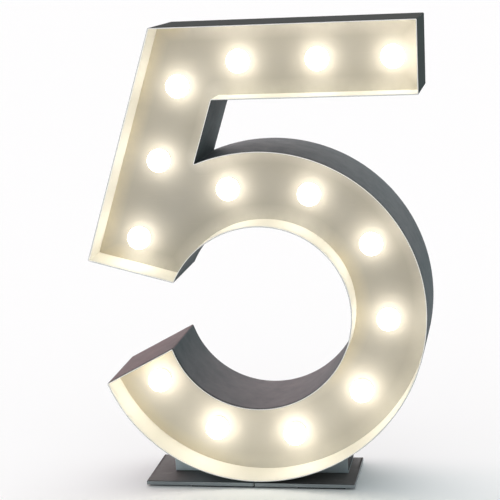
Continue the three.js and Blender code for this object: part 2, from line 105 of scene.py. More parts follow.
def addCamera():
    yaw, pitch, roll = (math.radians(view[key]) for key in ("yaw", "pitch", "roll"))
    forward = Vector((-math.sin(yaw) * math.cos(pitch), math.cos(yaw) * math.cos(pitch), -math.sin(pitch)))
    levelRight = Vector((math.cos(yaw), math.sin(yaw), 0))
    levelUp = levelRight.cross(forward)
    right = levelRight * math.cos(roll) + levelUp * math.sin(roll)
    up = levelUp * math.cos(roll) - levelRight * math.sin(roll)
    lens = bpy.data.cameras.new("photoCamera")
    lens.lens = view["lens"]
    lens.sensor_width = view["sensor"]
    lens.sensor_fit = "HORIZONTAL"
    lens.clip_end = view["clipEnd"]
    camera = bpy.data.objects.new("photoCamera", lens)
    turn = Matrix((right, up, -forward)).transposed().to_4x4()
    camera.matrix_world = Matrix.Translation(place(*view["position"])) @ turn
    bpy.context.scene.collection.objects.link(camera)
    bpy.context.scene.camera = camera


addCamera()
print("camera placed")


# Shader helpers.
def toLinear(red, green, blue):
    shares = [value / 255 for value in (red, green, blue)]
    return (*[share / 12.92 if share <= 0.04045 else ((share + 0.055) / 1.055) ** 2.4 for share in shares], 1)


# Each input is linked where it is a socket, and set where it is a value.
def setInputs(tree, node, inputs):
    for key, value in inputs.items():
        if isinstance(value, bpy.types.NodeSocket):
            tree.links.new(value, node.inputs[key])
        else:
            node.inputs[key].default_value = value


def addNode(tree, kind, inputs=None, **settings):
    node = tree.nodes.new(kind)
    for key, value in settings.items():
        setattr(node, key, value)
    setInputs(tree, node, inputs or {})
    return node


def newMaterial(name):
    material = bpy.data.materials.new(name)
    material.use_nodes = True
    return material, material.node_tree, material.node_tree.nodes["Principled BSDF"]


def mapRange(tree, value, low, high, toLow=0, toHigh=1):
    limits = {"Value": value, "From Min": low, "From Max": high, "To Min": toLow, "To Max": toHigh}
    return addNode(tree, "ShaderNodeMapRange", limits).outputs[0]


# A ramp over a span that is given from its start, in metres.
def ramp(tree, value, start, span, toLow=0, toHigh=1):
    return mapRange(tree, value, start + span[0], start + span[1], toLow, toHigh)


def combine(tree, operation, value, *others):
    for other in others:
        value = addNode(tree, "ShaderNodeMath", {0: value, 1: other}, operation=operation).outputs[0]
    return value


def times(tree, *values):
    return combine(tree, "MULTIPLY", *values)


def plus(tree, *values):
    return combine(tree, "ADD", *values)


def mixColours(tree, mask, under, over, **settings):
    return addNode(tree, "ShaderNodeMix", {0: mask, 6: under, 7: over}, data_type="RGBA", **settings).outputs[2]


# Lays colours over a surface, each where its mask is high.
def layColours(tree, surface, *layers):
    for mask, tone in layers:
        surface = mixColours(tree, mask, surface, tone)
    return surface


def noise(tree, where, scale, detail, roughness):
    settings = {"Vector": where, "Scale": scale, "Detail": detail, "Roughness": roughness}
    return addNode(tree, "ShaderNodeTexNoise", settings).outputs[0]


def bumpFrom(tree, height, strength, depth):
    return addNode(tree, "ShaderNodeBump", {"Strength": strength, "Distance": depth, "Height": height}).outputs[0]


def objectPlace(tree):
    return addNode(tree, "ShaderNodeTexCoord").outputs["Object"]


def axesOf(tree, vector):
    return addNode(tree, "ShaderNodeSeparateXYZ", {0: vector}).outputs


def faceAxes(tree):
    return axesOf(tree, addNode(tree, "ShaderNodeNewGeometry").outputs["Normal"])


def edgeMark(tree):
    return addNode(tree, "ShaderNodeAttribute", attribute_name="edge").outputs["Fac"]


# The stage: a pale floor that runs to a pale horizon, under a soft sky with broad glows that fade into it.
studio = {
    "floorReach": 1500,
    "floorColour": (0.95, 0.975, 0.972, 1),
    "sky": (0.42, 0.46, 0.47, 1),
    "hazeColour": (1, 1, 1, 1), "hazeSpan": (0.015, 0.03),
    "glows": [
        # aim, colour, sharpness
        ((0, 0.93, 0.36), (2.14, 2.2, 2.18, 1), 3.0),
        ((-0.66, 0.66, 0.36), (1.48, 0.99, 1.0, 1), 3.0),
    ],
}


def addFloor():
    mesh = bpy.data.meshes.new("floor")
    reach, ways = studio["floorReach"], ((-1, -1), (1, -1), (1, 1), (-1, 1))
    mesh.from_pydata([(right * reach, back * reach, 0) for right, back in ways], [], [(0, 1, 2, 3)])
    floor = bpy.data.objects.new("floor", mesh)
    bpy.context.scene.collection.objects.link(floor)
    paint, tree, shader = newMaterial("paleFloor")
    setInputs(tree, shader, {"Base Color": studio["floorColour"], "Roughness": 1, "Specular IOR Level": 0})
    mesh.materials.append(paint)


def addSky():
    world = bpy.data.worlds.new("studioSky")
    world.use_nodes = True
    bpy.context.scene.world = world
    tree = world.node_tree
    direction = addNode(tree, "ShaderNodeTexCoord").outputs["Generated"]
    lit = studio["sky"]
    for aim, glowColour, sharpness in studio["glows"]:
        aimed = {0: direction, 1: tuple(Vector(aim).normalized())}
        toward = addNode(tree, "ShaderNodeVectorMath", aimed, operation="DOT_PRODUCT").outputs["Value"]
        lobe = combine(tree, "POWER", combine(tree, "MAXIMUM", toward, 0.0), sharpness)
        lit = mixColours(tree, 1, lit, mixColours(tree, lobe, (0, 0, 0, 1), glowColour), blend_type="ADD")
    haze = mapRange(tree, axesOf(tree, direction)["Z"], *studio["hazeSpan"], 1, 0)
    setInputs(tree, tree.nodes["Background"], {"Color": mixColours(tree, haze, lit, studio["hazeColour"])})
    bpy.context.scene.view_settings.view_transform = "Standard"
    bpy.context.scene.view_settings.look = "None"


addFloor()
addSky()
print("stage lit")


# A shader group. The build function takes the tree and its inputs, and returns what each output puts out.
# Each material sets all the inputs.
def makeGroup(name, inputs, build):
    group = bpy.data.node_groups.new(name, "ShaderNodeTree")

    def addSocket(label, way):
        kind = "NodeSocketColor" if label in ("Light", "Dark", "Colour") else "NodeSocketFloat"
        group.interface.new_socket(label, in_out=way, socket_type=kind)

    for label in inputs:
        addSocket(label, "INPUT")
    results = build(group, group.nodes.new("NodeGroupInput").outputs)
    for label in results:
        addSocket(label, "OUTPUT")
    setInputs(group, group.nodes.new("NodeGroupOutput"), results)
    return group


# What the shader groups share out to all finishes. A grain is a noise's detail and roughness, after its scale
# where that isn't an input, and a span is the part of the noise that is stretched to full range.
skinLook = {
    "cloudGrain": (4, 0.6), "cloudSpan": (0.32, 0.68), "glossFiner": 5.0, "glossGrain": (5, 0.65),
    "glossSpan": (0.3, 0.7), "peelGrain": (2, 0.5),
}
rubLook = {
    "turn": (0.35, 0.2, 0.6), "stretch": (1, 2.2, 22), "streakGrain": (3, 0.6), "streakSpan": (0.6, 0.68),
    "patchGrain": (9.0, 2, 0.5), "patchSpan": (0.48, 0.66),
}
wearLook = {"grain": (5, 0.7), "span": (0.82, 0.95), "dent": 0.8}
dustLook = {"tilt": (0.25, 1.0), "grain": (6, 0.7), "span": (0.3, 0.7), "amounts": (0.6, 1), "roughening": 0.3}


# Sprayed or moulded skin: cloudy colour between two tones, a slow change of gloss and a fine peel.
def sprayedSkin(tree, given):
    where = objectPlace(tree)
    cloud = noise(tree, where, given["Cloud"], *skinLook["cloudGrain"])
    gloss = noise(tree, where, times(tree, given["Cloud"], skinLook["glossFiner"]), *skinLook["glossGrain"])
    mask = mapRange(tree, cloud, *skinLook["cloudSpan"])
    return {
        "Colour": mixColours(tree, mask, given["Dark"], given["Light"]),
        "Gloss": mapRange(tree, gloss, *skinLook["glossSpan"]),
        "Height": noise(tree, where, given["Peel"], *skinLook["peelGrain"]),
    }


# Thin rub marks that run along the length of the piece, in patches.
def rubMarks(tree, given):
    where = objectPlace(tree)
    turned = {"Vector": where, "Rotation": rubLook["turn"], "Scale": rubLook["stretch"]}
    drift = addNode(tree, "ShaderNodeMapping", turned).outputs[0]
    streak = noise(tree, drift, given["Scale"], *rubLook["streakGrain"])
    patch = noise(tree, where, *rubLook["patchGrain"])
    masks = mapRange(tree, streak, *rubLook["streakSpan"]), mapRange(tree, patch, *rubLook["patchSpan"])
    return {"Mask": times(tree, *masks, given["Amount"])}


# Wear where the edge attribute is high, broken up by grain.
def edgeWear(tree, given):
    grain = noise(tree, objectPlace(tree), given["Scale"], *wearLook["grain"])
    chance = times(tree, edgeMark(tree), plus(tree, grain, given["Amount"]))
    return {"Mask": mapRange(tree, chance, *wearLook["span"])}


# Dust on faces that look up.
def settledDust(tree, given):
    upward = mapRange(tree, faceAxes(tree)["Z"], *dustLook["tilt"])
    grain = noise(tree, objectPlace(tree), given["Scale"], *dustLook["grain"])
    drift = mapRange(tree, grain, *dustLook["span"], *dustLook["amounts"])
    return {"Mask": times(tree, upward, drift, given["Amount"])}


skinGroup = makeGroup("sprayedSkin", ["Light", "Dark", "Cloud", "Peel"], sprayedSkin)
layerGroups = {
    layer: makeGroup(name, ["Amount", "Scale"], build)
    for layer, name, build in [
        ("rub", "rubMarks", rubMarks), ("wear", "edgeWear", edgeWear), ("dust", "settledDust", settledDust),
    ]
}


def addSkin(tree, light, dark, cloud, peel):
    inputs = {"Light": light, "Dark": dark, "Cloud": cloud, "Peel": peel}
    return addNode(tree, "ShaderNodeGroup", inputs, node_tree=skinGroup).outputs


def layerMask(tree, layer, amount, scale):
    inputs = {"Amount": amount, "Scale": scale}
    return addNode(tree, "ShaderNodeGroup", inputs, node_tree=layerGroups[layer]).outputs["Mask"]


# A finish from one dictionary: skin is light, dark, cloud and peel, bump is strength and depth, and rub, wear
# and dust are amount, scale and colour. The extra function may lay more colour over the skin before them.
def makeFinish(name, finish, extra=None):
    material, tree, shader = newMaterial(name)
    skin = addSkin(tree, *finish["skin"])
    surface = extra(tree, skin["Colour"]) if extra else skin["Colour"]
    masks = {}
    for layer in layerGroups:
        amount, scale, tone = finish[layer]
        masks[layer] = layerMask(tree, layer, amount, scale)
        surface = mixColours(tree, masks[layer], surface, tone)
    gloss = mapRange(tree, skin["Gloss"], 0, 1, *finish["roughness"])
    dent = combine(tree, "SUBTRACT", skin["Height"], times(tree, masks["wear"], wearLook["dent"]))
    setInputs(tree, shader, {
        "Base Color": surface,
        "Roughness": plus(tree, gloss, times(tree, masks["dust"], dustLook["roughening"])),
        "Metallic": finish.get("metallic", 0),
        "Specular IOR Level": finish.get("specular", 0.5),
        "Normal": bumpFrom(tree, dent, *finish["bump"]),
    })
    return material


slatePaint = {
    "skin": (toLinear(68, 80, 84), toLinear(60, 72, 76), 7, 520),
    "roughness": (0.6, 0.75), "bump": (0.22, 0.0003), "specular": 0.15,
    "rub": (0.14, 9, toLinear(122, 127, 129)),
    "wear": (0.12, 210, toLinear(150, 150, 148)),
    # The dust's pinkish tone is also painted light on the faces that look up.
    "dust": (0.05, 14, toLinear(188, 157, 155)),
    # A painted shadow line along the front rim, ragged at its edge.
    "rimShadeColour": toLinear(33, 37, 39), "rimShadeWidth": 0.009, "rimShadeFull": 0.8,
    "raggedNoise": (60.0, 3, 0.6), "raggedDepth": 0.002,
    # Painted shade: darker towards the bar.
    "barShadeColour": toLinear(56, 62, 63), "barShadeAmount": 0.95, "barShadeSpan": (0.5, 0.6),
    # More of it low down: dust, and painted pinkish light.
    "lowDustAndLight": 0.18, "lowSpan": (0.16, 0.32),
}
# The bar's top and end have weathered to a dead matt, and take their own tone under the painted shade of the bar.
mattSlate = {**slatePaint, "specular": 0.0, "roughness": (0.85, 0.95), "barShadeColour": toLinear(73, 79, 78)}
# The neck, in the shade of the bar, has a paler coat: painted light that lifts its shaded face.
litNeckSlate = {**slatePaint, "skin": (toLinear(88, 98, 100), toLinear(80, 89, 91), 7, 520)}
# The end of the bowl: its reddish dust is partly painted pinkish light on its lit face, and its wider band at the rim
# is painted shadow.
dustyLitSlate = {
    **slatePaint,
    "skin": (toLinear(66, 75, 77), toLinear(58, 67, 69), 7, 520),
    "dust": (0.05, 14, toLinear(182, 108, 108)), "rimShadeWidth": 0.018,
}


# The paint is darker in a thin band along the front rim, a painted shadow line, and round the bar, painted shade.
# Dust lies thicker in the lower half; with its pinkish tone it is also painted light.
def slateShadeAndDust(paint):
    def layered(tree, surface):
        where = objectPlace(tree)
        split = axesOf(tree, where)
        amount, scale, dustColour = paint["dust"]
        high = ramp(tree, split["Z"], origin.z, paint["barShadeSpan"], 0, paint["barShadeAmount"])
        low = ramp(tree, split["Z"], origin.z, paint["lowSpan"], 1, 0)
        dust = times(tree, layerMask(tree, "dust", paint["lowDustAndLight"], scale), low)
        ragged = times(tree, noise(tree, where, *paint["raggedNoise"]), paint["raggedDepth"])
        depth = combine(tree, "SUBTRACT", split["Y"], ragged)
        band = ramp(tree, depth, origin.y, (paint["rimShadeWidth"] * paint["rimShadeFull"], paint["rimShadeWidth"]), 1, 0)
        layers = [(high, paint["barShadeColour"]), (dust, dustColour), (band, paint["rimShadeColour"])]
        return layColours(tree, surface, *layers)

    return layered


linerPaint = {
    "skin": ((0.78, 0.755, 0.67, 1), (0.735, 0.71, 0.63, 1), 9, 600),
    "roughness": (0.5, 0.65), "bump": (0.15, 0.0002), "specular": 0.25,
    "rub": (0.12, 16, (0.7, 0.65, 0.52, 1)),
    "wear": (0.0, 240, (0.62, 0.6, 0.55, 1)),
    "dust": (0.1, 30, (0.66, 0.6, 0.48, 1)),
    # A painted highlight at the front lip.
    "lipHighlightColour": (0.95, 0.945, 0.92, 1), "lipHighlightSpan": (0.0004, 0.0008),
    # Painted light on the faces that look up, more so towards the bar.
    "upwardLightColour": (0.92, 0.89, 0.79, 1), "upwardLightTilt": (0.1, 0.7),
    "upwardLightSpan": (-0.58, 0.58), "upwardLightAmounts": (0.4, 1),
    # Painted shade on the left side's face, high up.
    "sideShadeColour": (0.67, 0.645, 0.565, 1), "sideShadeTilt": (0.6, 0.9), "sideShadeSpan": (0.43, 0.58),
}


# The liner is paler where it looks up, more so towards the bar, painted light; greyer at the top of the left side,
# painted shade; and palest at the front lip, a painted highlight.
def linerPaintedLight(tree, surface):
    split, normal = axesOf(tree, objectPlace(tree)), faceAxes(tree)
    amount = ramp(tree, split["Z"], origin.z, linerPaint["upwardLightSpan"], *linerPaint["upwardLightAmounts"])
    upward = times(tree, mapRange(tree, normal["Z"], *linerPaint["upwardLightTilt"]), amount)
    high = ramp(tree, split["Z"], origin.z, linerPaint["sideShadeSpan"])
    side = times(tree, mapRange(tree, normal["X"], *linerPaint["sideShadeTilt"]), high)
    lip = ramp(tree, split["Y"], origin.y, linerPaint["lipHighlightSpan"], 1, 0)
    masks = {"upwardLightColour": upward, "sideShadeColour": side, "lipHighlightColour": lip}
    return layColours(tree, surface, *[(mask, linerPaint[key]) for key, mask in masks.items()])


panelPaint = {
    "skin": ((0.416, 0.389, 0.335, 1), (0.387, 0.362, 0.31, 1), 6, 480),
    "roughness": (0.5, 0.66), "bump": (0.2, 0.00025), "specular": 0.25,
    "rub": (0.1, 12, (0.66, 0.61, 0.49, 1)),
    "wear": (0.0, 120, (0.6, 0.56, 0.44, 1)),
    "dust": (0.0, 20, (0.6, 0.55, 0.45, 1)),
    "driftNoise": (4.0, 3, 0.6), "driftReach": 0.1,
    "patchNoise": (22.0, 5, 0.65), "patchSpan": (0.3, 0.7), "patchAmounts": (0.6, 1),
    # Painted light: paler towards the floor.
    "lowLightColour": (0.6, 0.56, 0.48, 1), "lowSpan": (-0.42, 0.1),
    "barColour": (0.428, 0.4, 0.342, 1), "barSpan": (0.42, 0.58),
    # Painted bounce light from the walls at their foot, pale or yellow.
    "yellowBounceColour": (0.65, 0.575, 0.42, 1), "paleBounceColour": (0.7, 0.665, 0.585, 1), "cornerBounceAmount": 0.9,
    # Painted shade round the lamps, its middle shifted aside and up from each.
    "lampShadeColour": (0.315, 0.3, 0.275, 1), "lampShadeAmount": 0.55, "lampShadeSpan": (0.022, 0.052), "lampShadeShift": (6, 6),
    # Where the painted bounce light is yellow: beside the left stroke, and in patches at the bottom left and right of
    # the hole, each from one value to another with a soft edge, across and up.
    "yellowBounceStroke": (0.05, 0.09),
    "yellowBouncePatches": [((-0.5, -0.16, 0.12), (-0.5, 0, 0.05)), ((0.2, 0.28, 0.05), (-0.2, 0.15, 0.1))],
}


# A mask that is full between two values of a coordinate, given in metres from the middle of the bowl.
def between(tree, value, start, low, high, soft):
    rise = mapRange(tree, value, start + low - soft, start + low)
    fall = mapRange(tree, value, start + high, start + high + soft, 1, 0)
    return times(tree, rise, fall)


# Where the painted bounce light at the foot of the walls is yellow.
def yellowBouncePlaces(tree, split):
    slope = math.radians(figure["strokeSlope"])
    across = times(tree, combine(tree, "SUBTRACT", split["X"], origin.x), math.sin(slope))
    down = times(tree, combine(tree, "SUBTRACT", split["Z"], origin.z), -math.cos(slope))
    reach = (figure["neckReach"] + figure["strokeWidth"]) * millimetre
    places = [mapRange(tree, plus(tree, across, down, reach), *panelPaint["yellowBounceStroke"], 1, 0)]
    for wide, tall in panelPaint["yellowBouncePatches"]:
        across, up = between(tree, split["X"], origin.x, *wide), between(tree, split["Z"], origin.z, *tall)
        places.append(times(tree, across, up))
    return combine(tree, "MAXIMUM", *places)


# How far a point is from the nearest lamp, or 1 m.
def lampDistance(tree, where):
    aside, up = panelPaint["lampShadeShift"]
    gaps = [1.0]
    for spot in bulbSpots:
        ends = {0: where, 1: tuple(place(spot.x + aside, sheets["panelFront"], spot.y + up))}
        gaps.append(addNode(tree, "ShaderNodeVectorMath", ends, operation="DISTANCE").outputs["Value"])
    return combine(tree, "MINIMUM", *gaps)


# The panel is paler towards the floor, painted light, and in the bar; pale or yellow at the foot of the walls, where
# the edge attribute rises to 1, painted bounce light from the walls; and darkened round the lamps, painted shade.
def panelPaintedLight(tree, surface):
    where = objectPlace(tree)
    split = axesOf(tree, where)
    reach = panelPaint["driftReach"]
    drift = plus(tree, split["Z"], times(tree, noise(tree, where, *panelPaint["driftNoise"]), reach))
    start = origin.z + reach / 2
    low = ramp(tree, drift, start, panelPaint["lowSpan"], 1, 0)
    bar = ramp(tree, drift, start, panelPaint["barSpan"])
    patches = noise(tree, where, *panelPaint["patchNoise"])
    patchy = mapRange(tree, patches, *panelPaint["patchSpan"], *panelPaint["patchAmounts"])
    amount = times(tree, edgeMark(tree), patchy, panelPaint["cornerBounceAmount"])
    corner = mixColours(tree, yellowBouncePlaces(tree, split), panelPaint["paleBounceColour"], panelPaint["yellowBounceColour"])
    near = mapRange(tree, lampDistance(tree, where), *panelPaint["lampShadeSpan"], panelPaint["lampShadeAmount"], 0)
    layers = [
        (low, panelPaint["lowLightColour"]), (bar, panelPaint["barColour"]), (amount, corner),
        (times(tree, near, patchy), panelPaint["lampShadeColour"]),
    ]
    return layColours(tree, surface, *layers)


basePaint = {
    "skin": (toLinear(98, 98, 98), toLinear(86, 86, 87), 14, 420),
    "roughness": (0.55, 0.7), "bump": (0.3, 0.0004), "specular": 0.2,
    "rub": (0.5, 12, toLinear(150, 147, 143)),
    "wear": (0.14, 170, toLinear(158, 162, 163)),
    "dust": (0.18, 20, toLinear(160, 148, 140)),
    # Painted light on the plates' sides.
    "sideLightColour": toLinear(148, 155, 158), "sideLightTilt": (0.3, 0.7), "sideLightAmount": 0.9,
    # Painted light under the bowl, where it shades the plates.
    "underBowlLightColour": toLinear(134, 146, 150), "underBowlLightAmount": 0.85,
    "underBowlLightLeft": (-0.24, -0.17), "underBowlLightRight": (-0.05, 0.0),
}
# The cradle has a paler, bluer coat: painted light on its faces in the bowl's shade.
litCradlePaint = {
    **basePaint,
    "skin": (toLinear(172, 183, 187), toLinear(155, 166, 170), 14, 420),
    "rub": (0.5, 12, toLinear(205, 211, 213)),
    "wear": (0.1, 170, toLinear(158, 162, 163)),
    "dust": (0.1, 20, toLinear(160, 148, 140)),
    "leftLightColour": toLinear(222, 236, 240), "leftLightSpan": (-0.12, -0.02), "leftLightTilt": (-0.9, -0.5),
}
# Its end plates are darker than the rest: painted shade.
shadedEndPaint = {
    **basePaint,
    "skin": (toLinear(50, 54, 56), toLinear(44, 48, 50), 14, 420),
    "rub": (0.3, 12, toLinear(96, 98, 99)), "dust": (0.08, 20, toLinear(160, 148, 140)),
}


# The left of the cradle's front flange is paler still: painted light where the bowl shades it.
def cradlePaintedLight(tree, surface):
    left = mapRange(tree, axesOf(tree, objectPlace(tree))["X"], *litCradlePaint["leftLightSpan"], 1, 0)
    front = mapRange(tree, faceAxes(tree)["Y"], *litCradlePaint["leftLightTilt"], 1, 0)
    return mixColours(tree, times(tree, left, front), surface, litCradlePaint["leftLightColour"])


# The plates' sides are paler than their tops, and so is the place under the bowl: both painted light.
def basePaintedLight(tree, surface):
    across = axesOf(tree, objectPlace(tree))["X"]
    left = mapRange(tree, across, *basePaint["underBowlLightLeft"], 0, basePaint["underBowlLightAmount"])
    right = mapRange(tree, across, *basePaint["underBowlLightRight"], 1, 0)
    level = combine(tree, "ABSOLUTE", faceAxes(tree)["Z"], 0.0)
    side = mapRange(tree, level, *basePaint["sideLightTilt"], basePaint["sideLightAmount"], 0)
    layers = [(times(tree, left, right), basePaint["underBowlLightColour"]), (side, basePaint["sideLightColour"])]
    return layColours(tree, surface, *layers)


ivoryPlastic = {
    "skin": ((0.66, 0.62, 0.54, 1), (0.58, 0.54, 0.46, 1), 40, 900),
    "roughness": (0.35, 0.45), "bump": (0.1, 0.0001),
    "rub": (0.1, 40, (0.5, 0.46, 0.4, 1)),
    "wear": (0.0, 400, (0.75, 0.72, 0.66, 1)),
    "dust": (0.1, 60, (0.5, 0.46, 0.38, 1)),
}
blackPlastic = {
    "skin": ((0.022, 0.023, 0.025, 1), (0.014, 0.015, 0.016, 1), 60, 1600),
    "roughness": (0.4, 0.55), "bump": (0.35, 0.0001),
    "rub": (0.25, 60, (0.06, 0.06, 0.062, 1)),
    "wear": (0.05, 600, (0.09, 0.09, 0.09, 1)),
    "dust": (0.12, 60, (0.2, 0.19, 0.17, 1)),
}
zincPlate = {
    "skin": ((0.62, 0.63, 0.64, 1), (0.45, 0.46, 0.48, 1), 120, 1400),
    "roughness": (0.24, 0.42), "bump": (0.12, 0.0001), "metallic": 1,
    "rub": (0.3, 90, (0.75, 0.75, 0.74, 1)),
    "wear": (0.1, 700, (0.3, 0.29, 0.27, 1)),
    "dust": (0.1, 90, (0.35, 0.33, 0.3, 1)),
}
blackRubber = {
    "skin": ((0.02, 0.02, 0.02, 1), (0.011, 0.011, 0.011, 1), 30, 1100),
    "roughness": (0.7, 0.88), "bump": (0.5, 0.0003),
    "rub": (0.2, 30, (0.05, 0.05, 0.05, 1)),
    "wear": (0.1, 300, (0.06, 0.06, 0.058, 1)),
    "dust": (0.1, 40, (0.16, 0.15, 0.14, 1)),
}

# The lit globe: frosted glass that glows a little warmer and dimmer towards its neck.
globeGlow = {
    "skin": ((0.92, 0.9, 0.84, 1), (0.86, 0.84, 0.78, 1), 60, 2200),
    "roughness": (0.28, 0.4), "bump": (0.1, 0.00005),
    "frontGlow": (1.0, 0.97, 0.915, 1), "neckGlow": (0.92, 0.75, 0.52, 1), "strength": 7.2,
    "neckSpan": (0.0895, 0.097), "unevenNoise": (70.0, 3, 0.6), "unevenReach": 0.004,
}


def makeGlow():
    material, tree, shader = newMaterial("frostedGlass")
    skin = addSkin(tree, *globeGlow["skin"])
    where = objectPlace(tree)
    uneven = times(tree, noise(tree, where, *globeGlow["unevenNoise"]), globeGlow["unevenReach"])
    neck = mapRange(tree, plus(tree, axesOf(tree, where)["Y"], uneven), *globeGlow["neckSpan"])
    setInputs(tree, shader, {
        "Base Color": skin["Colour"],
        "Roughness": mapRange(tree, skin["Gloss"], 0, 1, *globeGlow["roughness"]),
        "Emission Color": mixColours(tree, neck, globeGlow["frontGlow"], globeGlow["neckGlow"]),
        "Emission Strength": globeGlow["strength"],
        "Normal": bumpFrom(tree, skin["Height"], *globeGlow["bump"]),
    })
    return material


finishes = {
    "slate_paint": makeFinish("slatePaint", slatePaint, slateShadeAndDust(slatePaint)),
    "matt_slate": makeFinish("mattSlate", mattSlate, slateShadeAndDust(mattSlate)),
    "lit_neck_slate": makeFinish("litNeckSlate", litNeckSlate, slateShadeAndDust(litNeckSlate)),
    "dusty_lit_slate": makeFinish("dustyLitSlate", dustyLitSlate, slateShadeAndDust(dustyLitSlate)),
    "white_liner": makeFinish("linerPaint", linerPaint, linerPaintedLight),
    "white_paint": makeFinish("panelPaint", panelPaint, panelPaintedLight),
    "frosted_glass": makeGlow(),
    "ivory_plastic": makeFinish("ivoryPlastic", ivoryPlastic),
    "black_plastic": makeFinish("blackPlastic", blackPlastic),
    "zinc_plated_steel": makeFinish("zincPlate", zincPlate),
    "base_paint": makeFinish("basePaint", basePaint, basePaintedLight),
    "lit_cradle_paint": makeFinish("litCradlePaint", litCradlePaint, cradlePaintedLight),
    "cradle_end": makeFinish("shadedEndPaint", shadedEndPaint),
    "black_rubber": makeFinish("blackRubber", blackRubber),
}
print("finishes mixed:", len(finishes))


# Mesh helpers. Each point of a ring carries how worn it is, in the edge attribute; on the panel it also marks the foot
# of the walls, for the painted bounce light.
def newMesh():
    shape = bmesh.new()
    shape.verts.layers.float.new("edge")
    return shape


def addRing(shape, points):
    layer = shape.verts.layers.float["edge"]
    ring = []
    for point, wear in points:
        corner = shape.verts.new(point)
        corner[layer] = wear
        ring.append(corner)
    return ring


# Joins two rings; a ring of one point is a pole.
def stitch(shape, near, far):
    if len(near) == 1 and len(far) == 1:
        return
    count = max(len(near), len(far))
    for k in range(count):
        if len(near) == 1:
            shape.faces.new((near[0], far[k], far[k - 1]))
        elif len(far) == 1:
            shape.faces.new((near[k - 1], near[k], far[0]))
        else:
            shape.faces.new((near[k - 1], near[k], far[k], far[k - 1]))


# Joins rings in turn, and may cap the two ends.
def joinRings(shape, rings, capped=False):
    for near, far in zip(rings, rings[1:]):
        stitch(shape, near, far)
    if capped:
        shape.faces.new(rings[0])
        shape.faces.new(rings[-1][::-1])


def fillBetween(shape, loops, rings):
    flat = [[Vector((point[0], point[1], 0)) for point in loop] for loop in loops]
    corners = [corner for ring in rings for corner in ring]
    for triangle in tessellate_polygon(flat):
        shape.faces.new([corners[k] for k in triangle])


# A flat piece. Each edge is a loop, or a function that gives it at an inset, with a rim of (inset, level, wear)
# from the front face to the back one. An edge that ends in True is blind: it has a floor of its own.
def addSlab(shape, edges, at):
    faces = {"front": ([], []), "back": ([], [])}
    for edge, rim, *blind in edges:
        loops = [edge(inset) if callable(edge) else insetLoop(edge, inset) for inset, level, wear in rim]
        rings = [
            addRing(shape, [(at(*point, level), wear) for point in loop])
            for loop, (inset, level, wear) in zip(loops, rim)
        ]
        joinRings(shape, rings)
        faces["front"][0].append(loops[0])
        faces["front"][1].append(rings[0])
        if blind:
            shape.faces.new(rings[-1])
        else:
            faces["back"][0].append(loops[-1])
            faces["back"][1].append(rings[-1])
    for loops, rings in faces.values():
        fillBetween(shape, loops, rings)


# How far in the middle of a rounded edge lies, as a share of its radius.
roundShare = 0.3


# The usual rim of a sheet: a small rounded edge and a band of wear beside it.
def sheetRim(front, back, round=0.4, band=3, wear=1):
    way = 1 if back > front else -1
    near, far = front + way * round, back - way * round
    soft = round * roundShare
    return [
        (band, front, 0), (round, front, wear), (soft, front + way * soft, wear), (0, near, wear),
        (0, far, wear), (soft, back - way * soft, wear), (round, back, wear), (band, back, 0),
    ]


# A turned piece from (radius, along, wear), seen along its axis. A radius may be a function of the turn.
def addTurned(shape, profile, steps, at):
    rings = []
    for radius, along, wear in profile:
        reach = radius if callable(radius) else lambda turn: radius
        turns = [0] if radius == 0 else [2 * math.pi * k / steps for k in range(steps)]
        points = [(at(reach(turn) * math.sin(turn), reach(turn) * math.cos(turn), along), wear) for turn in turns]
        rings.append(addRing(shape, points))
    joinRings(shape, rings)


def insetLoop(points, distance):
    moved = []
    for k, here in enumerate(points):
        before = (here - points[k - 1]).normalized()
        after = (points[(k + 1) % len(points)] - here).normalized()
        one, other = Vector((-before.y, before.x)), Vector((-after.y, after.x))
        moved.append(here + (one + other) * (distance / (1 + one.dot(other))))
    return moved


# A rectangle with rounded corners, counter-clockwise, or clockwise as the edge of a hole.
def roundedRectangle(middle, width, height, corner, hole=False, steps=5):
    points = []
    for k, (right, up) in enumerate([(1, 1), (-1, 1), (-1, -1), (1, -1)]):
        centre = Vector((right * (width / 2 - corner), up * (height / 2 - corner)))
        for step in range(steps + 1):
            turn = math.pi / 2 * (k + step / steps)
            points.append(middle + centre + Vector((math.cos(turn), math.sin(turn))) * corner)
    return points[::-1] if hole else points


# A rounded rectangle given by its limits.
def boxLoop(left, right, low, high, corner, steps=5):
    middle = Vector(((left + right) / 2, (low + high) / 2))
    return roundedRectangle(middle, right - left, high - low, corner, steps=steps)


def circleLoop(middle, radius, steps=24, hole=True):
    way = -1 if hole else 1
    turns = [way * 2 * math.pi * k / steps for k in range(steps)]
    return [middle + Vector((math.cos(turn), math.sin(turn))) * radius for turn in turns]


# The cosines and sines of a quarter turn.
def quarterArc(steps):
    turns = [math.pi / 2 * k / steps for k in range(steps + 1)]
    return [(math.cos(turn), math.sin(turn)) for turn in turns]


# A profile moved along its axis.
def shifted(profile, start):
    return [(radius, start + along, wear) for radius, along, wear in profile]


# Ways to stand a flat or turned shape up in the figure.
def facing(right, up, back):
    return place(right, back, up)


def sideways(back, up, right):
    return place(right, back, up)


def alongY(right, up, back):
    return local(right, back, up)


def roundSpot(spot):
    return lambda right, back, up: place(spot.x + right, spot.y + back, up)


# Points closer than these are made one, in metres.
closeness = {"points": 2e-6, "edges": 1e-7}


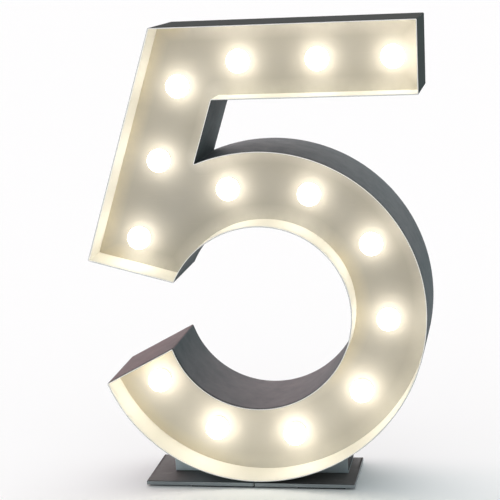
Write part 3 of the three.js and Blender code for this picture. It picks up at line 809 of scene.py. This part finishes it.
# Edges that turn by less than the sharp angle, in degrees, are smooth.
def finishMesh(shape, name, finish, sharp=38):
    bmesh.ops.remove_doubles(shape, verts=shape.verts, dist=closeness["points"])
    bmesh.ops.dissolve_degenerate(shape, edges=shape.edges, dist=closeness["edges"])
    bmesh.ops.recalc_face_normals(shape, faces=shape.faces)
    limit = math.radians(sharp)
    for face in shape.faces:
        face.smooth = True
    for edge in shape.edges:
        edge.smooth = len(edge.link_faces) == 2 and edge.calc_face_angle(0) < limit
    mesh = bpy.data.meshes.new(name)
    shape.to_mesh(mesh)
    shape.free()
    mesh.materials.append(finishes[finish])
    return mesh


# One mesh from one slab or more, each given by its edges.
def slabMesh(name, finish, at, *slabs):
    shape = newMesh()
    for edges in slabs:
        addSlab(shape, edges, at)
    return finishMesh(shape, name, finish)


def turnedMesh(name, finish, profile, steps, sharp=50):
    shape = newMesh()
    addTurned(shape, profile, steps, alongY)
    return finishMesh(shape, name, finish, sharp)


# A piece has its mesh's name, unless it is given one of its own.
def addPiece(mesh, body="housing", nodes=(), spot=None, name=None):
    piece = bpy.data.objects.new(name or mesh.name, mesh)
    bpy.context.scene.collection.objects.link(piece)
    if spot is not None:
        piece.location = place(spot.x, 0, spot.y)
    even = piece.modifiers.new("evenFaces", "WEIGHTED_NORMAL")
    even.keep_sharp = True
    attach(piece, body)
    if nodes:
        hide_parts(*nodes)


# Takes the second mesh out of the first.
def cutMesh(mesh, cutter):
    whole = bpy.data.objects.new("whole", mesh)
    tool = bpy.data.objects.new("tool", cutter)
    for piece in (whole, tool):
        bpy.context.scene.collection.objects.link(piece)
    cut = whole.modifiers.new("cut", "BOOLEAN")
    cut.operation = "DIFFERENCE"
    cut.solver = "EXACT"
    cut.object = tool
    depsgraph = bpy.context.evaluated_depsgraph_get()
    result = bpy.data.meshes.new_from_object(whole.evaluated_get(depsgraph))
    result.name = mesh.name
    for piece in (whole, tool):
        bpy.data.objects.remove(piece)
    return result


def makeSide(slope, reach, inward):
    return {"slope": math.radians(slope), "reach": reach, "inward": inward}


sides = {
    "top": makeSide(0, barTop, -1),
    "barEnd": makeSide(90, -barEnd, 1),
    "barUnder": makeSide(0, barUnder, 1),
    "neck": makeSide(figure["strokeSlope"], figure["neckReach"], 1),
    "left": makeSide(figure["strokeSlope"], figure["neckReach"] + figure["strokeWidth"], -1),
    "foot": makeSide(figure["footSlope"], figure["footReach"], 1),
    "terminal": makeSide(figure["terminalSlope"], figure["terminalReach"], -1),
}
bowl = {"radius": figure["bowlRadius"], "right": 0, "up": 0, "inward": -1}
hole = {"radius": figure["holeRadius"], "right": figure["holeRight"], "up": figure["holeUp"], "inward": 1}


def meet(one, other, inset):
    a = one["reach"] + one["inward"] * inset
    b = other["reach"] + other["inward"] * inset
    turn = math.sin(other["slope"] - one["slope"])
    right = (a * math.cos(other["slope"]) - b * math.cos(one["slope"])) / turn
    up = (a * math.sin(other["slope"]) - b * math.sin(one["slope"])) / turn
    return Vector((right, up))


def roundDirection(angle):
    lean = figure["lean"]
    return Vector((math.cos(angle) + lean * math.sin(angle), math.sin(angle) + lean * math.cos(angle)))


def roundPoint(part, angle, inset):
    reach = part["radius"] + part["inward"] * inset
    return Vector((part["right"], part["up"])) + roundDirection(angle) * reach


def meetAngle(side, part, way, inset):
    lean, slope = figure["lean"], side["slope"]
    reach = side["reach"] + side["inward"] * inset
    across = lean * math.cos(slope) - math.sin(slope)
    up = math.cos(slope) - lean * math.sin(slope)
    rest = reach + part["right"] * math.sin(slope) - part["up"] * math.cos(slope)
    radius = part["radius"] + part["inward"] * inset
    return math.atan2(up, across) + way * math.acos(rest / (radius * math.hypot(across, up)))


def sideNormal(side):
    return Vector((math.sin(side["slope"]), -math.cos(side["slope"]))) * side["inward"]


# A corner of the outline, between two straight sides or a straight and a round one.
def straightCorner(one, other):
    normals = (sideNormal(one), sideNormal(other))
    return {"at": lambda inset: meet(one, other, inset), "normals": lambda inset: normals}


def roundCorner(side, part, way, turns, roundFirst):
    def angleAt(inset):
        return meetAngle(side, part, way, inset) - 2 * math.pi * turns

    def normals(inset):
        outward = roundDirection(angleAt(inset)).normalized() * -part["inward"]
        return (outward, sideNormal(side)) if roundFirst else (sideNormal(side), outward)

    return {"at": lambda inset: roundPoint(part, angleAt(inset), inset), "normals": normals, "angle": angleAt}


corners = {
    "footLeft": straightCorner(sides["foot"], sides["left"]),
    "topLeft": straightCorner(sides["left"], sides["top"]),
    "topRight": straightCorner(sides["top"], sides["barEnd"]),
    "barLow": straightCorner(sides["barEnd"], sides["barUnder"]),
    "inner": straightCorner(sides["barUnder"], sides["neck"]),
    "neckFoot": roundCorner(sides["neck"], bowl, -1, 0, False),
    "terminalOuter": roundCorner(sides["terminal"], bowl, 1, 1, True),
    "terminalInner": roundCorner(sides["terminal"], hole, 1, 1, False),
    "footRight": roundCorner(sides["foot"], hole, 1, 0, True),
}

# The walls in order, clockwise round the figure, with the corner that each starts from.
wallRuns = [
    ("wall_left_side", "footLeft", None), ("wall_top", "topLeft", None), ("wall_bar_end", "topRight", None),
    ("wall_bar_underside", "barLow", None), ("wall_neck", "inner", None), ("wall_bowl_outside", "neckFoot", bowl),
    ("wall_terminal", "terminalOuter", None), ("wall_bowl_inside", "terminalInner", hole),
    ("wall_foot", "footRight", None),
]
runStarts = [corners[cornerName] for node, cornerName, part in wallRuns]
runEnds = list(zip(runStarts, runStarts[1:] + runStarts[:1]))

# The walls: slate sheet outside, painted white inside, bent round at the corners.
wall = {
    "depth": 260, "thickness": 3, "skin": 0.6, "skinInnerBack": 247.7, "edgeRound": 0.45, "wearBand": 2.2,
    "linerBack": 247.4, "linerMiddle": 96, "linerGap": 0.03,
    "bendInside": 0.4, "bendOutside": 3.4, "bendSteps": 8, "bendWear": 0.8, "seam": 0.012,
    "leadIn": 4, "arcStep": math.radians(1.5),
    "finishes": {
        "wall_top": "matt_slate", "wall_bar_end": "matt_slate", "wall_neck": "lit_neck_slate",
        "wall_terminal": "dusty_lit_slate",
    },
}


def isConvex(corner):
    one, other = corner["normals"](0)
    return one.cross(other) < 0


def bendInset(corner):
    return wall["bendOutside"] if isConvex(corner) else -wall["bendInside"]


# The bend of the sheet at a corner: outer and inner points at shares of the turn.
def bendPoints(corner, shares):
    convex, inset = isConvex(corner), bendInset(corner)
    centre = corner["at"](inset)
    one, other = corner["normals"](inset)
    way = 1 if convex else -1
    start = math.atan2(way * one.y, way * one.x)
    sweep = math.atan2(one.cross(other), one.dot(other))
    radii = (wall["bendOutside"], wall["bendInside"]) if convex else (wall["bendInside"], wall["bendOutside"])
    points = []
    for share in shares:
        turn = start + sweep * share
        direction = Vector((math.cos(turn), math.sin(turn)))
        points.append((centre + direction * radii[0], centre + direction * radii[1], wall["bendWear"]))
    return points


def stepsBetween(low, high, count):
    return [low + (high - low) * k / count for k in range(count + 1)]


# The stations of one run between its two bends, without the ends.
def runPoints(start, end, part, first, last):
    if part is None:
        way = (last[0] - first[0]).normalized() * wall["leadIn"]
        return [(first[0] + way, first[1] + way, 0), (last[0] - way, last[1] - way, 0)]
    low, high = start["angle"](bendInset(start)), end["angle"](bendInset(end))
    count = math.ceil(abs(high - low) / wall["arcStep"])
    angles = stepsBetween(low, high, count)[1:-1]
    return [(roundPoint(part, angle, 0), roundPoint(part, angle, wall["thickness"]), 0) for angle in angles]


# Joins the cross-sections of a wall or of the liner, which runs right round.
def sweepStations(shape, stations, profile, closed):
    rings = []
    for outer, inner, bend in stations:
        spots = [(outer.lerp(inner, depth / wall["thickness"]), back, wear) for depth, back, wear in profile]
        rings.append(addRing(shape, [(facing(*spot, back), max(wear, bend)) for spot, back, wear in spots]))
    if closed:
        joinRings(shape, rings + rings[:1])
    else:
        joinRings(shape, rings, True)


def skinProfile():
    full, skin, round, band = wall["thickness"], wall["skin"], wall["edgeRound"], wall["wearBand"]
    depth, inner = wall["depth"], wall["skinInnerBack"]
    soft = round * roundShare
    return [
        (0, round, 1), (soft, soft, 1), (round, 0, 1), (skin, 0, 1),
        (skin, inner, 0), (full, inner, 0), (full, depth - band - round, 0), (full, depth - round, 1),
        (full - soft, depth - soft, 1), (full - round, depth, 1), (round, depth, 1), (soft, depth - soft, 1),
        (0, depth - round, 1), (0, depth - band - round, 0), (0, band + round, 0),
    ]


def linerProfile():
    full, skin, round, band = wall["thickness"], wall["skin"] + wall["linerGap"], wall["edgeRound"], wall["wearBand"]
    soft, back = round * roundShare, wall["linerBack"]
    return [
        (skin, 0, 1), (full - round, 0, 1), (full - soft, soft, 1), (full, round, 1),
        (full, band + round, 0), (full, wall["linerMiddle"], 0), (full, back, 0), (skin, back, 0),
    ]


def buildWalls():
    half = wall["bendSteps"] // 2
    low = stepsBetween(0, 0.5 - wall["seam"], half)
    high = stepsBetween(0.5 + wall["seam"], 1, half)
    whole = stepsBetween(0, 1, wall["bendSteps"])
    linerStations = []
    for (node, cornerName, part), (start, end) in zip(wallRuns, runEnds):
        opening, closing = bendPoints(start, high), bendPoints(end, low)
        run = runPoints(start, end, part, opening[-1], closing[0])
        shape = newMesh()
        sweepStations(shape, opening + run + closing, skinProfile(), False)
        mesh = finishMesh(shape, "slate_" + node, wall["finishes"].get(node, "slate_paint"))
        addPiece(mesh, nodes=[node])
        linerStations += bendPoints(start, whole) + run
    shape = newMesh()
    sweepStations(shape, linerStations, linerProfile(), True)
    addPiece(finishMesh(shape, "white_liner", "white_liner"))


buildWalls()
print("walls bent:", len(wallRuns))


# The outline at an inset, always with the same number of points.
def sheetLoop(extra):
    inset = sheets["inset"] + extra
    shares = stepsBetween(0, 1, wall["bendSteps"])
    points = []
    for (node, cornerName, part), (start, end) in zip(wallRuns, runEnds):
        convex = isConvex(start)
        if convex:
            points.append(start["at"](inset))
        else:
            bends, depth = bendPoints(start, shares), inset / wall["thickness"]
            points += [outer.lerp(inner, depth) for outer, inner, wear in bends]
        if part:
            low = start["angle"](inset if convex else bendInset(start))
            angles = stepsBetween(low, end["angle"](inset), sheets["arcCount"])[1:-1]
            points += [roundPoint(part, angle, inset) for angle in angles]
    return points


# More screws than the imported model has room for, along the edge of the cover.
def edgeScrewSpots():
    inset = sheets["screwInset"]
    spots = []
    for one, other, shares in [
        ("footLeft", "topLeft", (0.06, 0.56, 0.93)), ("topLeft", "topRight", (0.36, 0.7)),
        ("topRight", "barLow", (0.12, 0.88)), ("barLow", "inner", (0.32, 0.68)),
        ("inner", "neckFoot", (0.5,)), ("terminalOuter", "terminalInner", (0.14, 0.86)),
        ("footLeft", "footRight", (0.5, 0.93)),
    ]:
        low, high = corners[one]["at"](inset), corners[other]["at"](inset)
        spots += [low.lerp(high, share) for share in shares]
    spots += [roundPoint(bowl, math.radians(angle), inset) for angle in (92, 62, 38, -12, -38, -62, -120, -146)]
    spots += [roundPoint(hole, math.radians(angle), inset) for angle in (100, 55, 10, -35, -80, -118)]
    return spots


def buildSheets():
    panel, cover = (sheets["panelFront"], sheets["panelBack"]), (sheets["coverBack"], sheets["coverFront"])
    soft = sheets["edgeRound"]
    edges = [(sheetLoop, sheetRim(*panel, soft, sheets["panelBand"]))]
    edges += [(circleLoop(spot, sheets["holeRadius"], 48), sheetRim(*panel, soft, 3, 0)) for spot in bulbSpots]
    addPiece(slabMesh("panel_sheet", "white_paint", facing, edges), nodes=["face_panel"])

    edges = [(sheetLoop, sheetRim(*cover, soft, 3))]
    for spot in screwSpots + edgeScrewSpots():
        edges.append((circleLoop(spot, sheets["screwHole"], 16), sheetRim(*cover, 0.2, 0.8)))
    edges.append((roundedRectangle(inletSpot, *sheets["inletHole"], True), sheetRim(*cover, soft, 2)))
    addPiece(slabMesh("cover_sheet", "slate_paint", facing, edges), nodes=["rear_cover"])


buildSheets()
print("panel and cover cut")

# The screws of the cover: pan heads with a cross recess.
screw = {
    "radius": 2.2, "tip": 236.3, "point": 1.6, "under": 250.3,
    "headRadius": 4.6, "headHeight": 2.6, "headEdge": 0.25, "headSide": 0.7, "crown": 3.06, "domeSteps": 8,
    "recessWidth": 0.95, "recessLength": 4.4, "recessDepth": 1.5, "recessTaper": 0.2,
    "recessTurn": math.radians(6),
}


def crossLoop(reach, half):
    quarter = [Vector((reach, -half)), Vector((reach, half)), Vector((half, half))]
    turns = [screw["recessTurn"] + math.pi / 2 * k for k in range(4)]
    return [Matrix.Rotation(turn, 2) @ point for turn in turns for point in quarter]


def screwMesh():
    radius, tip, under, height = screw["radius"], screw["tip"], screw["under"], screw["headHeight"]
    head, edge, side, steps = screw["headRadius"], screw["headEdge"], screw["headSide"], screw["domeSteps"]
    profile = [
        (0, tip, 0), (radius * 0.5, tip, 0), (radius, tip + screw["point"], 0), (radius, under - 0.05, 0),
        (radius, under, 0), (head - edge, under, 1), (head, under + edge, 1), (head, under + side, 1),
    ]
    for k, (across, up) in enumerate(quarterArc(steps)[1:], 1):
        reach = head * (1 - k / steps) + screw["crown"] * (k / steps) if k < steps else 0
        profile.append((reach, under + side + (height - side) * up, 0))
    cross = crossLoop(screw["recessLength"] / 2, screw["recessWidth"] / 2)
    recess = [(0, under + height + 1, 0), (screw["recessTaper"], under + height - screw["recessDepth"], 0)]
    driver = slabMesh("driver", "zinc_plated_steel", alongY, [(cross, recess)])
    return cutMesh(turnedMesh("cover_screw", "zinc_plated_steel", profile, 24), driver)


def buildScrews():
    mesh = screwMesh()
    for k, spot in enumerate(screwSpots, 1):
        addPiece(mesh, nodes=[f"cover_screw_{k}"], spot=spot, name=f"cover_pan_screw_{k}")
    for k, spot in enumerate(edgeScrewSpots(), 1):
        addPiece(mesh, spot=spot, name=f"edge_pan_screw_{k}")


buildScrews()
print("screws turned")

# The bulbs: a frosted globe and a rolled screw cap with a black insulator and its contact.
bulb = {
    "radius": 30, "middle": 68, "neckRadius": 16, "waist": 15.3, "globeRings": 22, "steps": 44,
    "footRadius": 15, "footAt": 96.9, "footInner": 13.2,
    "capLength": 25, "shellLength": 20.5, "crest": 12.95, "root": 12.1, "pitch": 3.6,
    "threadFrom": 3.2, "threadTo": 19.5, "threadFade": 1.5, "threadRows": 66, "plainShares": (0.9, 0.2),
    "shellEnd": [(11.2, 1.2, 1), (9.8, 1.8, 0), (0, 1.8, 0)],
    "insulator": [(0, -2.65, 0), (9.7, -2.65, 0), (9.4, -1.6, 1), (7.2, -0.3, 0), (5.4, 0, 0), (0, 0, 0)],
    "contactRadius": 5, "contactLength": 2.5, "contactGap": 0.03,
}
capEnd = bulb["footAt"] + bulb["capLength"]
holder = {
    "collarRadius": 24, "collarFront": 97.2, "collarBack": 99.7,
    "bodyRadius": 19.5, "back": 149, "bore": 13.35, "boreEnd": 124.7, "gripFrom": 8, "gripTo": 30.6,
}


def globeMesh():
    radius, foot, footAt = bulb["radius"], bulb["footRadius"], bulb["footAt"]
    turns = stepsBetween(0, math.pi - math.asin(bulb["neckRadius"] / radius), bulb["globeRings"])
    profile = [(radius * math.sin(turn), bulb["middle"] - radius * math.cos(turn), 0) for turn in turns]
    profile += [
        (bulb["waist"], (profile[-1][1] + footAt) / 2, 0), (foot, footAt - 0.3, 0), (foot - 0.5, footAt, 1),
        (bulb["footInner"], footAt, 0), (0, footAt, 0),
    ]
    return turnedMesh("frosted_globe", "frosted_glass", profile, bulb["steps"], 60)


# The cap's thread winds round it and fades towards its two plain ends.
def threadRadius(along):
    low, high, fade = bulb["threadFrom"], bulb["threadTo"], bulb["threadFade"]
    deep = min(1, max(0, (along - low) / fade)) * min(1, max(0, (high - along) / fade))
    plain = bulb["plainShares"][0 if along < low + 1 else 1]

    def radiusAt(turn):
        wave = 0.5 + 0.5 * math.cos(2 * math.pi * (along / bulb["pitch"]) - turn)
        return bulb["root"] + (bulb["crest"] - bulb["root"]) * (wave * deep + (1 - deep) * plain)

    return radiusAt


def capMesh():
    front, length = bulb["footAt"] + 0.1, bulb["shellLength"]
    profile = [(0, front, 0)]
    profile += [(threadRadius(along), front + along, 0) for along in stepsBetween(0, length, bulb["threadRows"])]
    return turnedMesh("screw_cap", "zinc_plated_steel", profile + shifted(bulb["shellEnd"], front + length), 36)


def contactMesh():
    radius, length, start = bulb["contactRadius"], bulb["contactLength"], capEnd + bulb["contactGap"]
    profile = [(0, start, 0), (radius, start, 0), (radius, capEnd + length * 0.5, 1)]
    profile += [(radius * across, capEnd + length * (0.5 + 0.5 * up), 0) for across, up in quarterArc(5)[1:-1]]
    return turnedMesh("cap_contact", "zinc_plated_steel", profile + [(0, capEnd + length, 0)], 24)


# The lampholder: a moulded sleeve with a flat collar, a raised rim and a waist to grip behind.
def holderMesh():
    front, back, end = holder["collarFront"], holder["collarBack"], holder["back"]
    bore, body, collar = holder["bore"], holder["bodyRadius"], holder["collarRadius"]
    low, high = back + holder["gripFrom"], back + holder["gripTo"]
    profile = [
        (0, holder["boreEnd"], 0), (bore, holder["boreEnd"], 0), (bore, front + 0.6, 0),
        (bore + 0.5, front + 0.05, 1), (bore + 3.2, front + 0.05, 0), (bore + 3.6, front + 0.5, 1),
        (collar - 3.4, front + 0.5, 0),
        (collar - 3.0, front, 1), (collar - 0.7, front, 1), (collar - 0.2, front + 0.25, 1), (collar, front + 0.8, 1),
        (collar, back - 0.3, 0), (collar - 0.3, back, 0), (body, back, 0), (body, low, 0), (body - 0.7, low + 0.6, 1),
        (body - 0.7, high - 0.6, 0), (body, high, 1), (body, end - 0.8, 1), (body - 0.8, end, 1), (0, end, 0),
    ]
    return turnedMesh("lampholder", "ivory_plastic", profile, 48, 38)


def buildLamps():
    globe, sleeve = globeMesh(), holderMesh()
    insulator = turnedMesh("cap_insulator", "black_plastic", shifted(bulb["insulator"], capEnd), 32)
    fittings = [
        ("screw_cap_", capMesh(), "zinc_plated_steel"), ("cap_insulator_", insulator, "black_plastic"),
        ("cap_contact_", contactMesh(), "zinc_plated_steel"),
    ]
    for name, spot in zip(bulbNames, bulbSpots):
        digits = name[-2:]
        addPiece(globe, name, [name], spot, "globe_" + digits)
        for label, mesh, slot in fittings:
            addPiece(mesh, name, spot=spot, name=label + digits)
        addPiece(sleeve, "housing", ["lampholder_" + digits], spot, "lamp_sleeve_" + digits)


buildLamps()
print("bulbs fitted:", len(bulbNames))

# The base: two steel plates, a cradle of folded sheet, rubber pads and two bolts.
base = {
    "plateSpans": {"left": (-319, -28.6), "right": (-25.4, 241)},
    "plateDepth": 215, "plateTop": -443.3, "plateUnder": -453.3, "plateCorner": 1.2,
    "pocketTop": -447.5, "pocketRadius": 8.3, "boreRadius": 4.3,
    "padSpans": {"left": (-197, -28), "right": (88, 215)},
    "padInset": 4, "padTop": -453.6, "padUnder": -457.6, "padCorner": 1.5,
}
cradle = {
    "left": -257, "right": 214, "front": 83, "back": 215, "under": -443,
    "sheet": 3, "bend": 4.5, "bendSteps": 6, "lip": 0.4, "flangeFrom": 6, "fit": 0.3,
    "steps": 60, "endBand": 5, "endInset": 0.2, "endCorner": 1.6, "endGap": 0.1, "endLift": 0.15,
    "boreFrom": -2, "boreTo": 4.2,
}
# The bolts' profiles: a hexagon head and the washer face of the shank, from under the head, and the tip.
bolt = {
    "head": [(0, 0.6, 0), (5.5, 0.6, 0), (6.2, 0, 1), (7.1, 0, 1), (7.9, 0.9, 1), (7.9, 4.6, 1), (0, 4.6, 0)],
    "washer": [(0, 4.2, 0), (7.4, 4.2, 0), (7.4, 5, 1), (4, 5, 0)],
    "tip": [(3.9, -0.8, 0), (3.1, 0, 1), (0, 0, 0)],
    "crest": 4, "root": 3.55, "threadStep": 0.7, "threadFrom": 5.2, "threadShort": 6,
}


def boltSpot(side):
    return middleOf("base_bolt_" + side).xy


def plateMesh(side, left, right):
    top, under, pocket, bore = base["plateTop"], base["plateUnder"], base["pocketTop"], base["boreRadius"]
    outline = boxLoop(left, right, 0, base["plateDepth"], base["plateCorner"], 3)
    step = base["pocketRadius"] - bore
    boreRim = [
        (2, top, 0), (0.4, top, 1), (0, top - 0.4, 1), (0, pocket + 0.3, 0), (0, pocket, 0),
        (step, pocket, 0), (step, under + 0.4, 1), (step + 0.4, under, 1), (step + 2, under, 0),
    ]
    edges = [(outline, sheetRim(top, under, 0.7, 5)), (circleLoop(boltSpot(side), bore, 32), boreRim)]
    return slabMesh("steel_plate_" + side, "base_paint", place, edges)


def padMesh(side, left, right):
    inset = base["padInset"]
    outline = boxLoop(left, right, inset, base["plateDepth"] - inset, base["padCorner"])
    rim = sheetRim(base["padTop"], base["padUnder"], 0.5, 3)
    return slabMesh("foot_pad_" + side, "black_rubber", place, [(outline, rim)])


# The cradle's channel: its floor and its front and back flanges are one folded sheet, cut to the bowl.
def channelProfile(top):
    front, back, under = cradle["front"], cradle["back"], cradle["under"]
    sheet, bend, lip = cradle["sheet"], cradle["bend"], cradle["lip"]
    near, far, low, inner = front + bend, back - bend, under + bend, bend - sheet
    arc = quarterArc(cradle["bendSteps"])
    flange = low + cradle["flangeFrom"]
    points = [(front, top - lip, 1), (front, flange, 0)]
    points += [(near - bend * cos, low - bend * sin, 0.6) for cos, sin in arc]
    points += [(far + bend * sin, low - bend * cos, 0.6) for cos, sin in arc]
    points += [(back, flange, 0), (back, top - lip, 1), (back - lip, top, 1)]
    points += [(back - sheet + lip, top, 1), (back - sheet, top - lip, 1)]
    points += [(far + inner * cos, low - inner * sin, 0) for cos, sin in arc]
    points += [(near - inner * sin, low - inner * cos, 0) for cos, sin in arc]
    points += [(front + sheet, top - lip, 1), (front + sheet - lip, top, 1), (front + lip, top, 1)]
    return [(across, min(up, top), wear) for across, up, wear in points]


def cradleAngle(across):
    return meetAngle(makeSide(90, -across, 0), bowl, 1, -cradle["fit"])


def cradleTop(across):
    return roundPoint(bowl, cradleAngle(across), -cradle["fit"]).y


def cradleMesh():
    left, right, lip, band = cradle["left"], cradle["right"], cradle["lip"], cradle["endBand"]
    stations = [(left, lip), (left + lip, 0)]
    stations += [(across, 0) for across in stepsBetween(left + band, right - band, cradle["steps"])]
    stations += [(right - lip, 0), (right, lip)]
    shape = newMesh()
    rings = []
    for across, pull in stations:
        end = 1 if across < left + 1 or across > right - 1 else 0
        top = cradleTop(across)
        profile = [(back, min(up, top - pull), max(wear, end)) for back, up, wear in channelProfile(top)]
        rings.append(addRing(shape, [(place(across, back, up), wear) for back, up, wear in profile]))
    joinRings(shape, rings, True)
    cutter, bore, start, stop = newMesh(), base["boreRadius"], cradle["boreFrom"], cradle["boreTo"]
    rod = shifted([(0, start, 0), (bore, start, 0), (bore, stop, 0), (0, stop, 0)], cradle["under"])
    for side in ("left", "right"):
        addTurned(cutter, rod, 24, roundSpot(boltSpot(side)))
    channel = finishMesh(shape, "cradle_channel", "lit_cradle_paint")
    return cutMesh(channel, finishMesh(cutter, "rods", "lit_cradle_paint"))


# The two end plates stand between the flanges.
def cradleEndMesh(side, across, way):
    sheet, gap = cradle["sheet"], cradle["endGap"]
    inner = across + way * sheet
    low, high = cradle["under"] + sheet + cradle["endLift"], min(cradleTop(across), cradleTop(inner)) - gap
    front, back = cradle["front"] + sheet + gap, cradle["back"] - sheet - gap
    outline = boxLoop(front, back, low, high, cradle["endCorner"])
    return slabMesh("cradle_end_" + side, "cradle_end", sideways, [(outline, sheetRim(across, inner, 0.4, 4))])


def boltMesh(side):
    low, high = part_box("base_bolt_" + side)
    under, top = ((value - origin.z) / millimetre for value in (low.z, high.z))
    length = top - under - bolt["threadShort"]
    rows = int(length / bolt["threadStep"])
    shank = shifted(bolt["washer"], under)
    for k in range(rows):
        radius = bolt["crest"] if k % 2 else bolt["root"]
        shank.append((radius, under + bolt["threadFrom"] + length * k / rows, 0))
    shape = newMesh()
    for profile, steps in ((shifted(bolt["head"], under), 6), (shank + shifted(bolt["tip"], top), 24)):
        addTurned(shape, profile, steps, roundSpot(boltSpot(side)))
    return finishMesh(shape, "hex_bolt_" + side, "zinc_plated_steel", 30)


def buildBase():
    for side, span in base["plateSpans"].items():
        addPiece(plateMesh(side, *span), nodes=["base_plate_" + side])
        addPiece(padMesh(side, *base["padSpans"][side]), nodes=["rubber_pad_" + side])
        addPiece(boltMesh(side), nodes=["base_bolt_" + side])
    addPiece(cradleMesh(), nodes=["cradle"], name="cradle_channel")
    for side, way in (("left", 1), ("right", -1)):
        addPiece(cradleEndMesh(side, cradle[side] + way * cradle["endInset"], way))


buildBase()
print("base folded and bolted")

# The power inlet at the back. Its openings are width, height, corner, depth and how far each is above the
# middle: the socket, with cut corners, the slot of the fuse drawer and the pocket of the rocker.
inlet = {
    "width": 34, "height": 65, "corner": 3, "rim": 3, "face": 253.3, "seat": 250.3, "front": 216.3,
    "socket": (24.5, 17, 4.5, 17, -17),
    "slot": (22, 8, 0.5, 15.8, 1.5),
    "pocket": (13.8, 20.4, 0.6, 8.9, 18.5),
    "pinSpread": 7, "pinRise": 4, "pinSize": (2, 5, 0.3), "pinLength": 12,
    "drawer": (23, 9, 0.7), "drawerBack": 15.5, "grip": (10.7, 1.4, 0.5),
}


def inletMesh():
    face, seat, front, rim = inlet["face"], inlet["seat"], inlet["front"], inlet["rim"]
    outerRim = [
        (2.2, face, 0), (0.9, face, 1), (0.25, face - 0.3, 1), (0, face - 1, 1), (0, seat + 0.2, 0), (0.2, seat, 0),
        (rim - 0.05, seat, 0), (rim, seat - 0.05, 0), (rim, front + 0.5, 0), (rim + 0.5, front, 1), (rim + 2, front, 0),
    ]
    edges = [(roundedRectangle(inletSpot, inlet["width"], inlet["height"], inlet["corner"]), outerRim)]
    for key, steps, band, soft in (("socket", 1, 1.2, 0.4), ("slot", 3, 0.7, 0.25), ("pocket", 3, 0.7, 0.25)):
        width, height, corner, depth, rise = inlet[key]
        edge = roundedRectangle(inletSpot + Vector((0, rise)), width, height, corner, True, steps)
        floor = face - depth
        lip = [(band, face, 0), (soft, face, 1), (0, face - soft, 1), (0, floor + 0.2, 0), (0, floor, 0)]
        edges.append((edge, lip, True))
    return slabMesh("inlet_body", "black_plastic", facing, edges)


def pinMesh():
    width, height, corner, depth, drop = inlet["socket"]
    foot, tip = inlet["face"] - depth + 0.03, inlet["face"] - depth + inlet["pinLength"]
    rim = [(0.5, tip, 0), (0.3, tip, 1), (0, tip - 1.3, 0), (0, foot, 0), (0.5, foot, 0)]
    pins = []
    for side in (-1, 0, 1):
        rise = inlet["pinRise"] if side == 0 else -inlet["pinRise"] / 2
        spot = inletSpot + Vector((side * inlet["pinSpread"], rise + drop))
        pins.append([(roundedRectangle(spot, *inlet["pinSize"], steps=2), rim)])
    return slabMesh("inlet_pins", "zinc_plated_steel", facing, *pins)


rocker = {
    "width": 13.1, "half": 8.7, "tip": 4.6, "middle": 3.1, "shoulder": -0.5, "belly": 4.3, "steps": 12,
    "tilt": math.radians(10), "sink": 2.5, "ribs": 3, "ribInset": 1.6, "ribStep": 1.3, "ribSize": (0.55, 0.6, 0.2),
    "ribSink": 0.15, "ribRim": [(0.1, -4.2, 0), (0, -4, 0), (0, 4, 0), (0.1, 4.2, 0)],
}


# The rocker seen from its side: a hollow top and a round belly, tipped to its off stop.
def rockerMesh():
    half, steps, tilt = rocker["half"], rocker["steps"], rocker["tilt"]
    pivot = Vector((inletSpot.x, inlet["face"] - rocker["sink"], inletSpot.y + inlet["pocket"][4]))

    def topAt(along):
        return rocker["middle"] + (rocker["tip"] - rocker["middle"]) * (along / half) ** 2

    def at(along, out, across):
        up = along * math.cos(tilt) - out * math.sin(tilt)
        back = along * math.sin(tilt) + out * math.cos(tilt)
        return place(pivot.x + across, pivot.y + back, pivot.z + up)

    spots = [half * (1 - 2 * k / steps) for k in range(steps + 1)]
    side = [Vector((along, topAt(along))) for along in spots]
    for turn in stepsBetween(0, math.pi, steps):
        side.append(Vector((-half * math.cos(turn), rocker["shoulder"] - rocker["belly"] * math.sin(turn))))
    slabs = [[(side, sheetRim(-rocker["width"] / 2, rocker["width"] / 2, 0.5, 1.2))]]
    for end in (-1, 1):
        for k in range(rocker["ribs"]):
            along = end * (half - rocker["ribInset"] - rocker["ribStep"] * k)
            spot = Vector((along, topAt(along) - rocker["ribSink"]))
            slabs.append([(roundedRectangle(spot, *rocker["ribSize"], steps=3), rocker["ribRim"])])
    return slabMesh("rocker_paddle", "black_plastic", at, *slabs)


def drawerMesh():
    spot = inletSpot + Vector((0, inlet["slot"][4]))
    start, end = inlet["face"] + 0.3, inlet["face"] - inlet["drawerBack"]
    rim = [
        (1.4, start + 1.6, 0), (0.4, start + 1.6, 1), (0, start + 1.2, 1), (0, start, 0), (0.8, start, 0),
        (0.8, end + 0.3, 0), (1.1, end, 1), (2, end, 0),
    ]
    gripRim = [
        (0.3, start + 3, 0), (0.15, start + 2.95, 1), (0, start + 2.7, 1), (0, start + 0.8, 0), (0.3, start + 0.8, 0),
    ]
    block, grip = roundedRectangle(spot, *inlet["drawer"], steps=3), roundedRectangle(spot, *inlet["grip"], steps=4)
    return slabMesh("drawer_block", "black_plastic", facing, [(block, rim)], [(grip, gripRim)])


def buildInlet():
    addPiece(inletMesh(), nodes=["power_inlet"])
    addPiece(pinMesh())
    addPiece(rockerMesh(), "rocker_switch", ["rocker_switch"])
    addPiece(drawerMesh(), "fuse_drawer", ["fuse_drawer"])


buildInlet()
print("inlet wired")


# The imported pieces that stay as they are, out of sight behind the panel, get their finishes.
def finishHiddenPieces():
    kept = {"wiring_loom": "black_plastic"}
    kept.update({f"cover_spacer_{k}": "zinc_plated_steel" for k in range(1, 6)})
    for node, finish in kept.items():
        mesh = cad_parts[node].data
        mesh.materials.clear()
        mesh.materials.append(finishes[finish])


finishHiddenPieces()
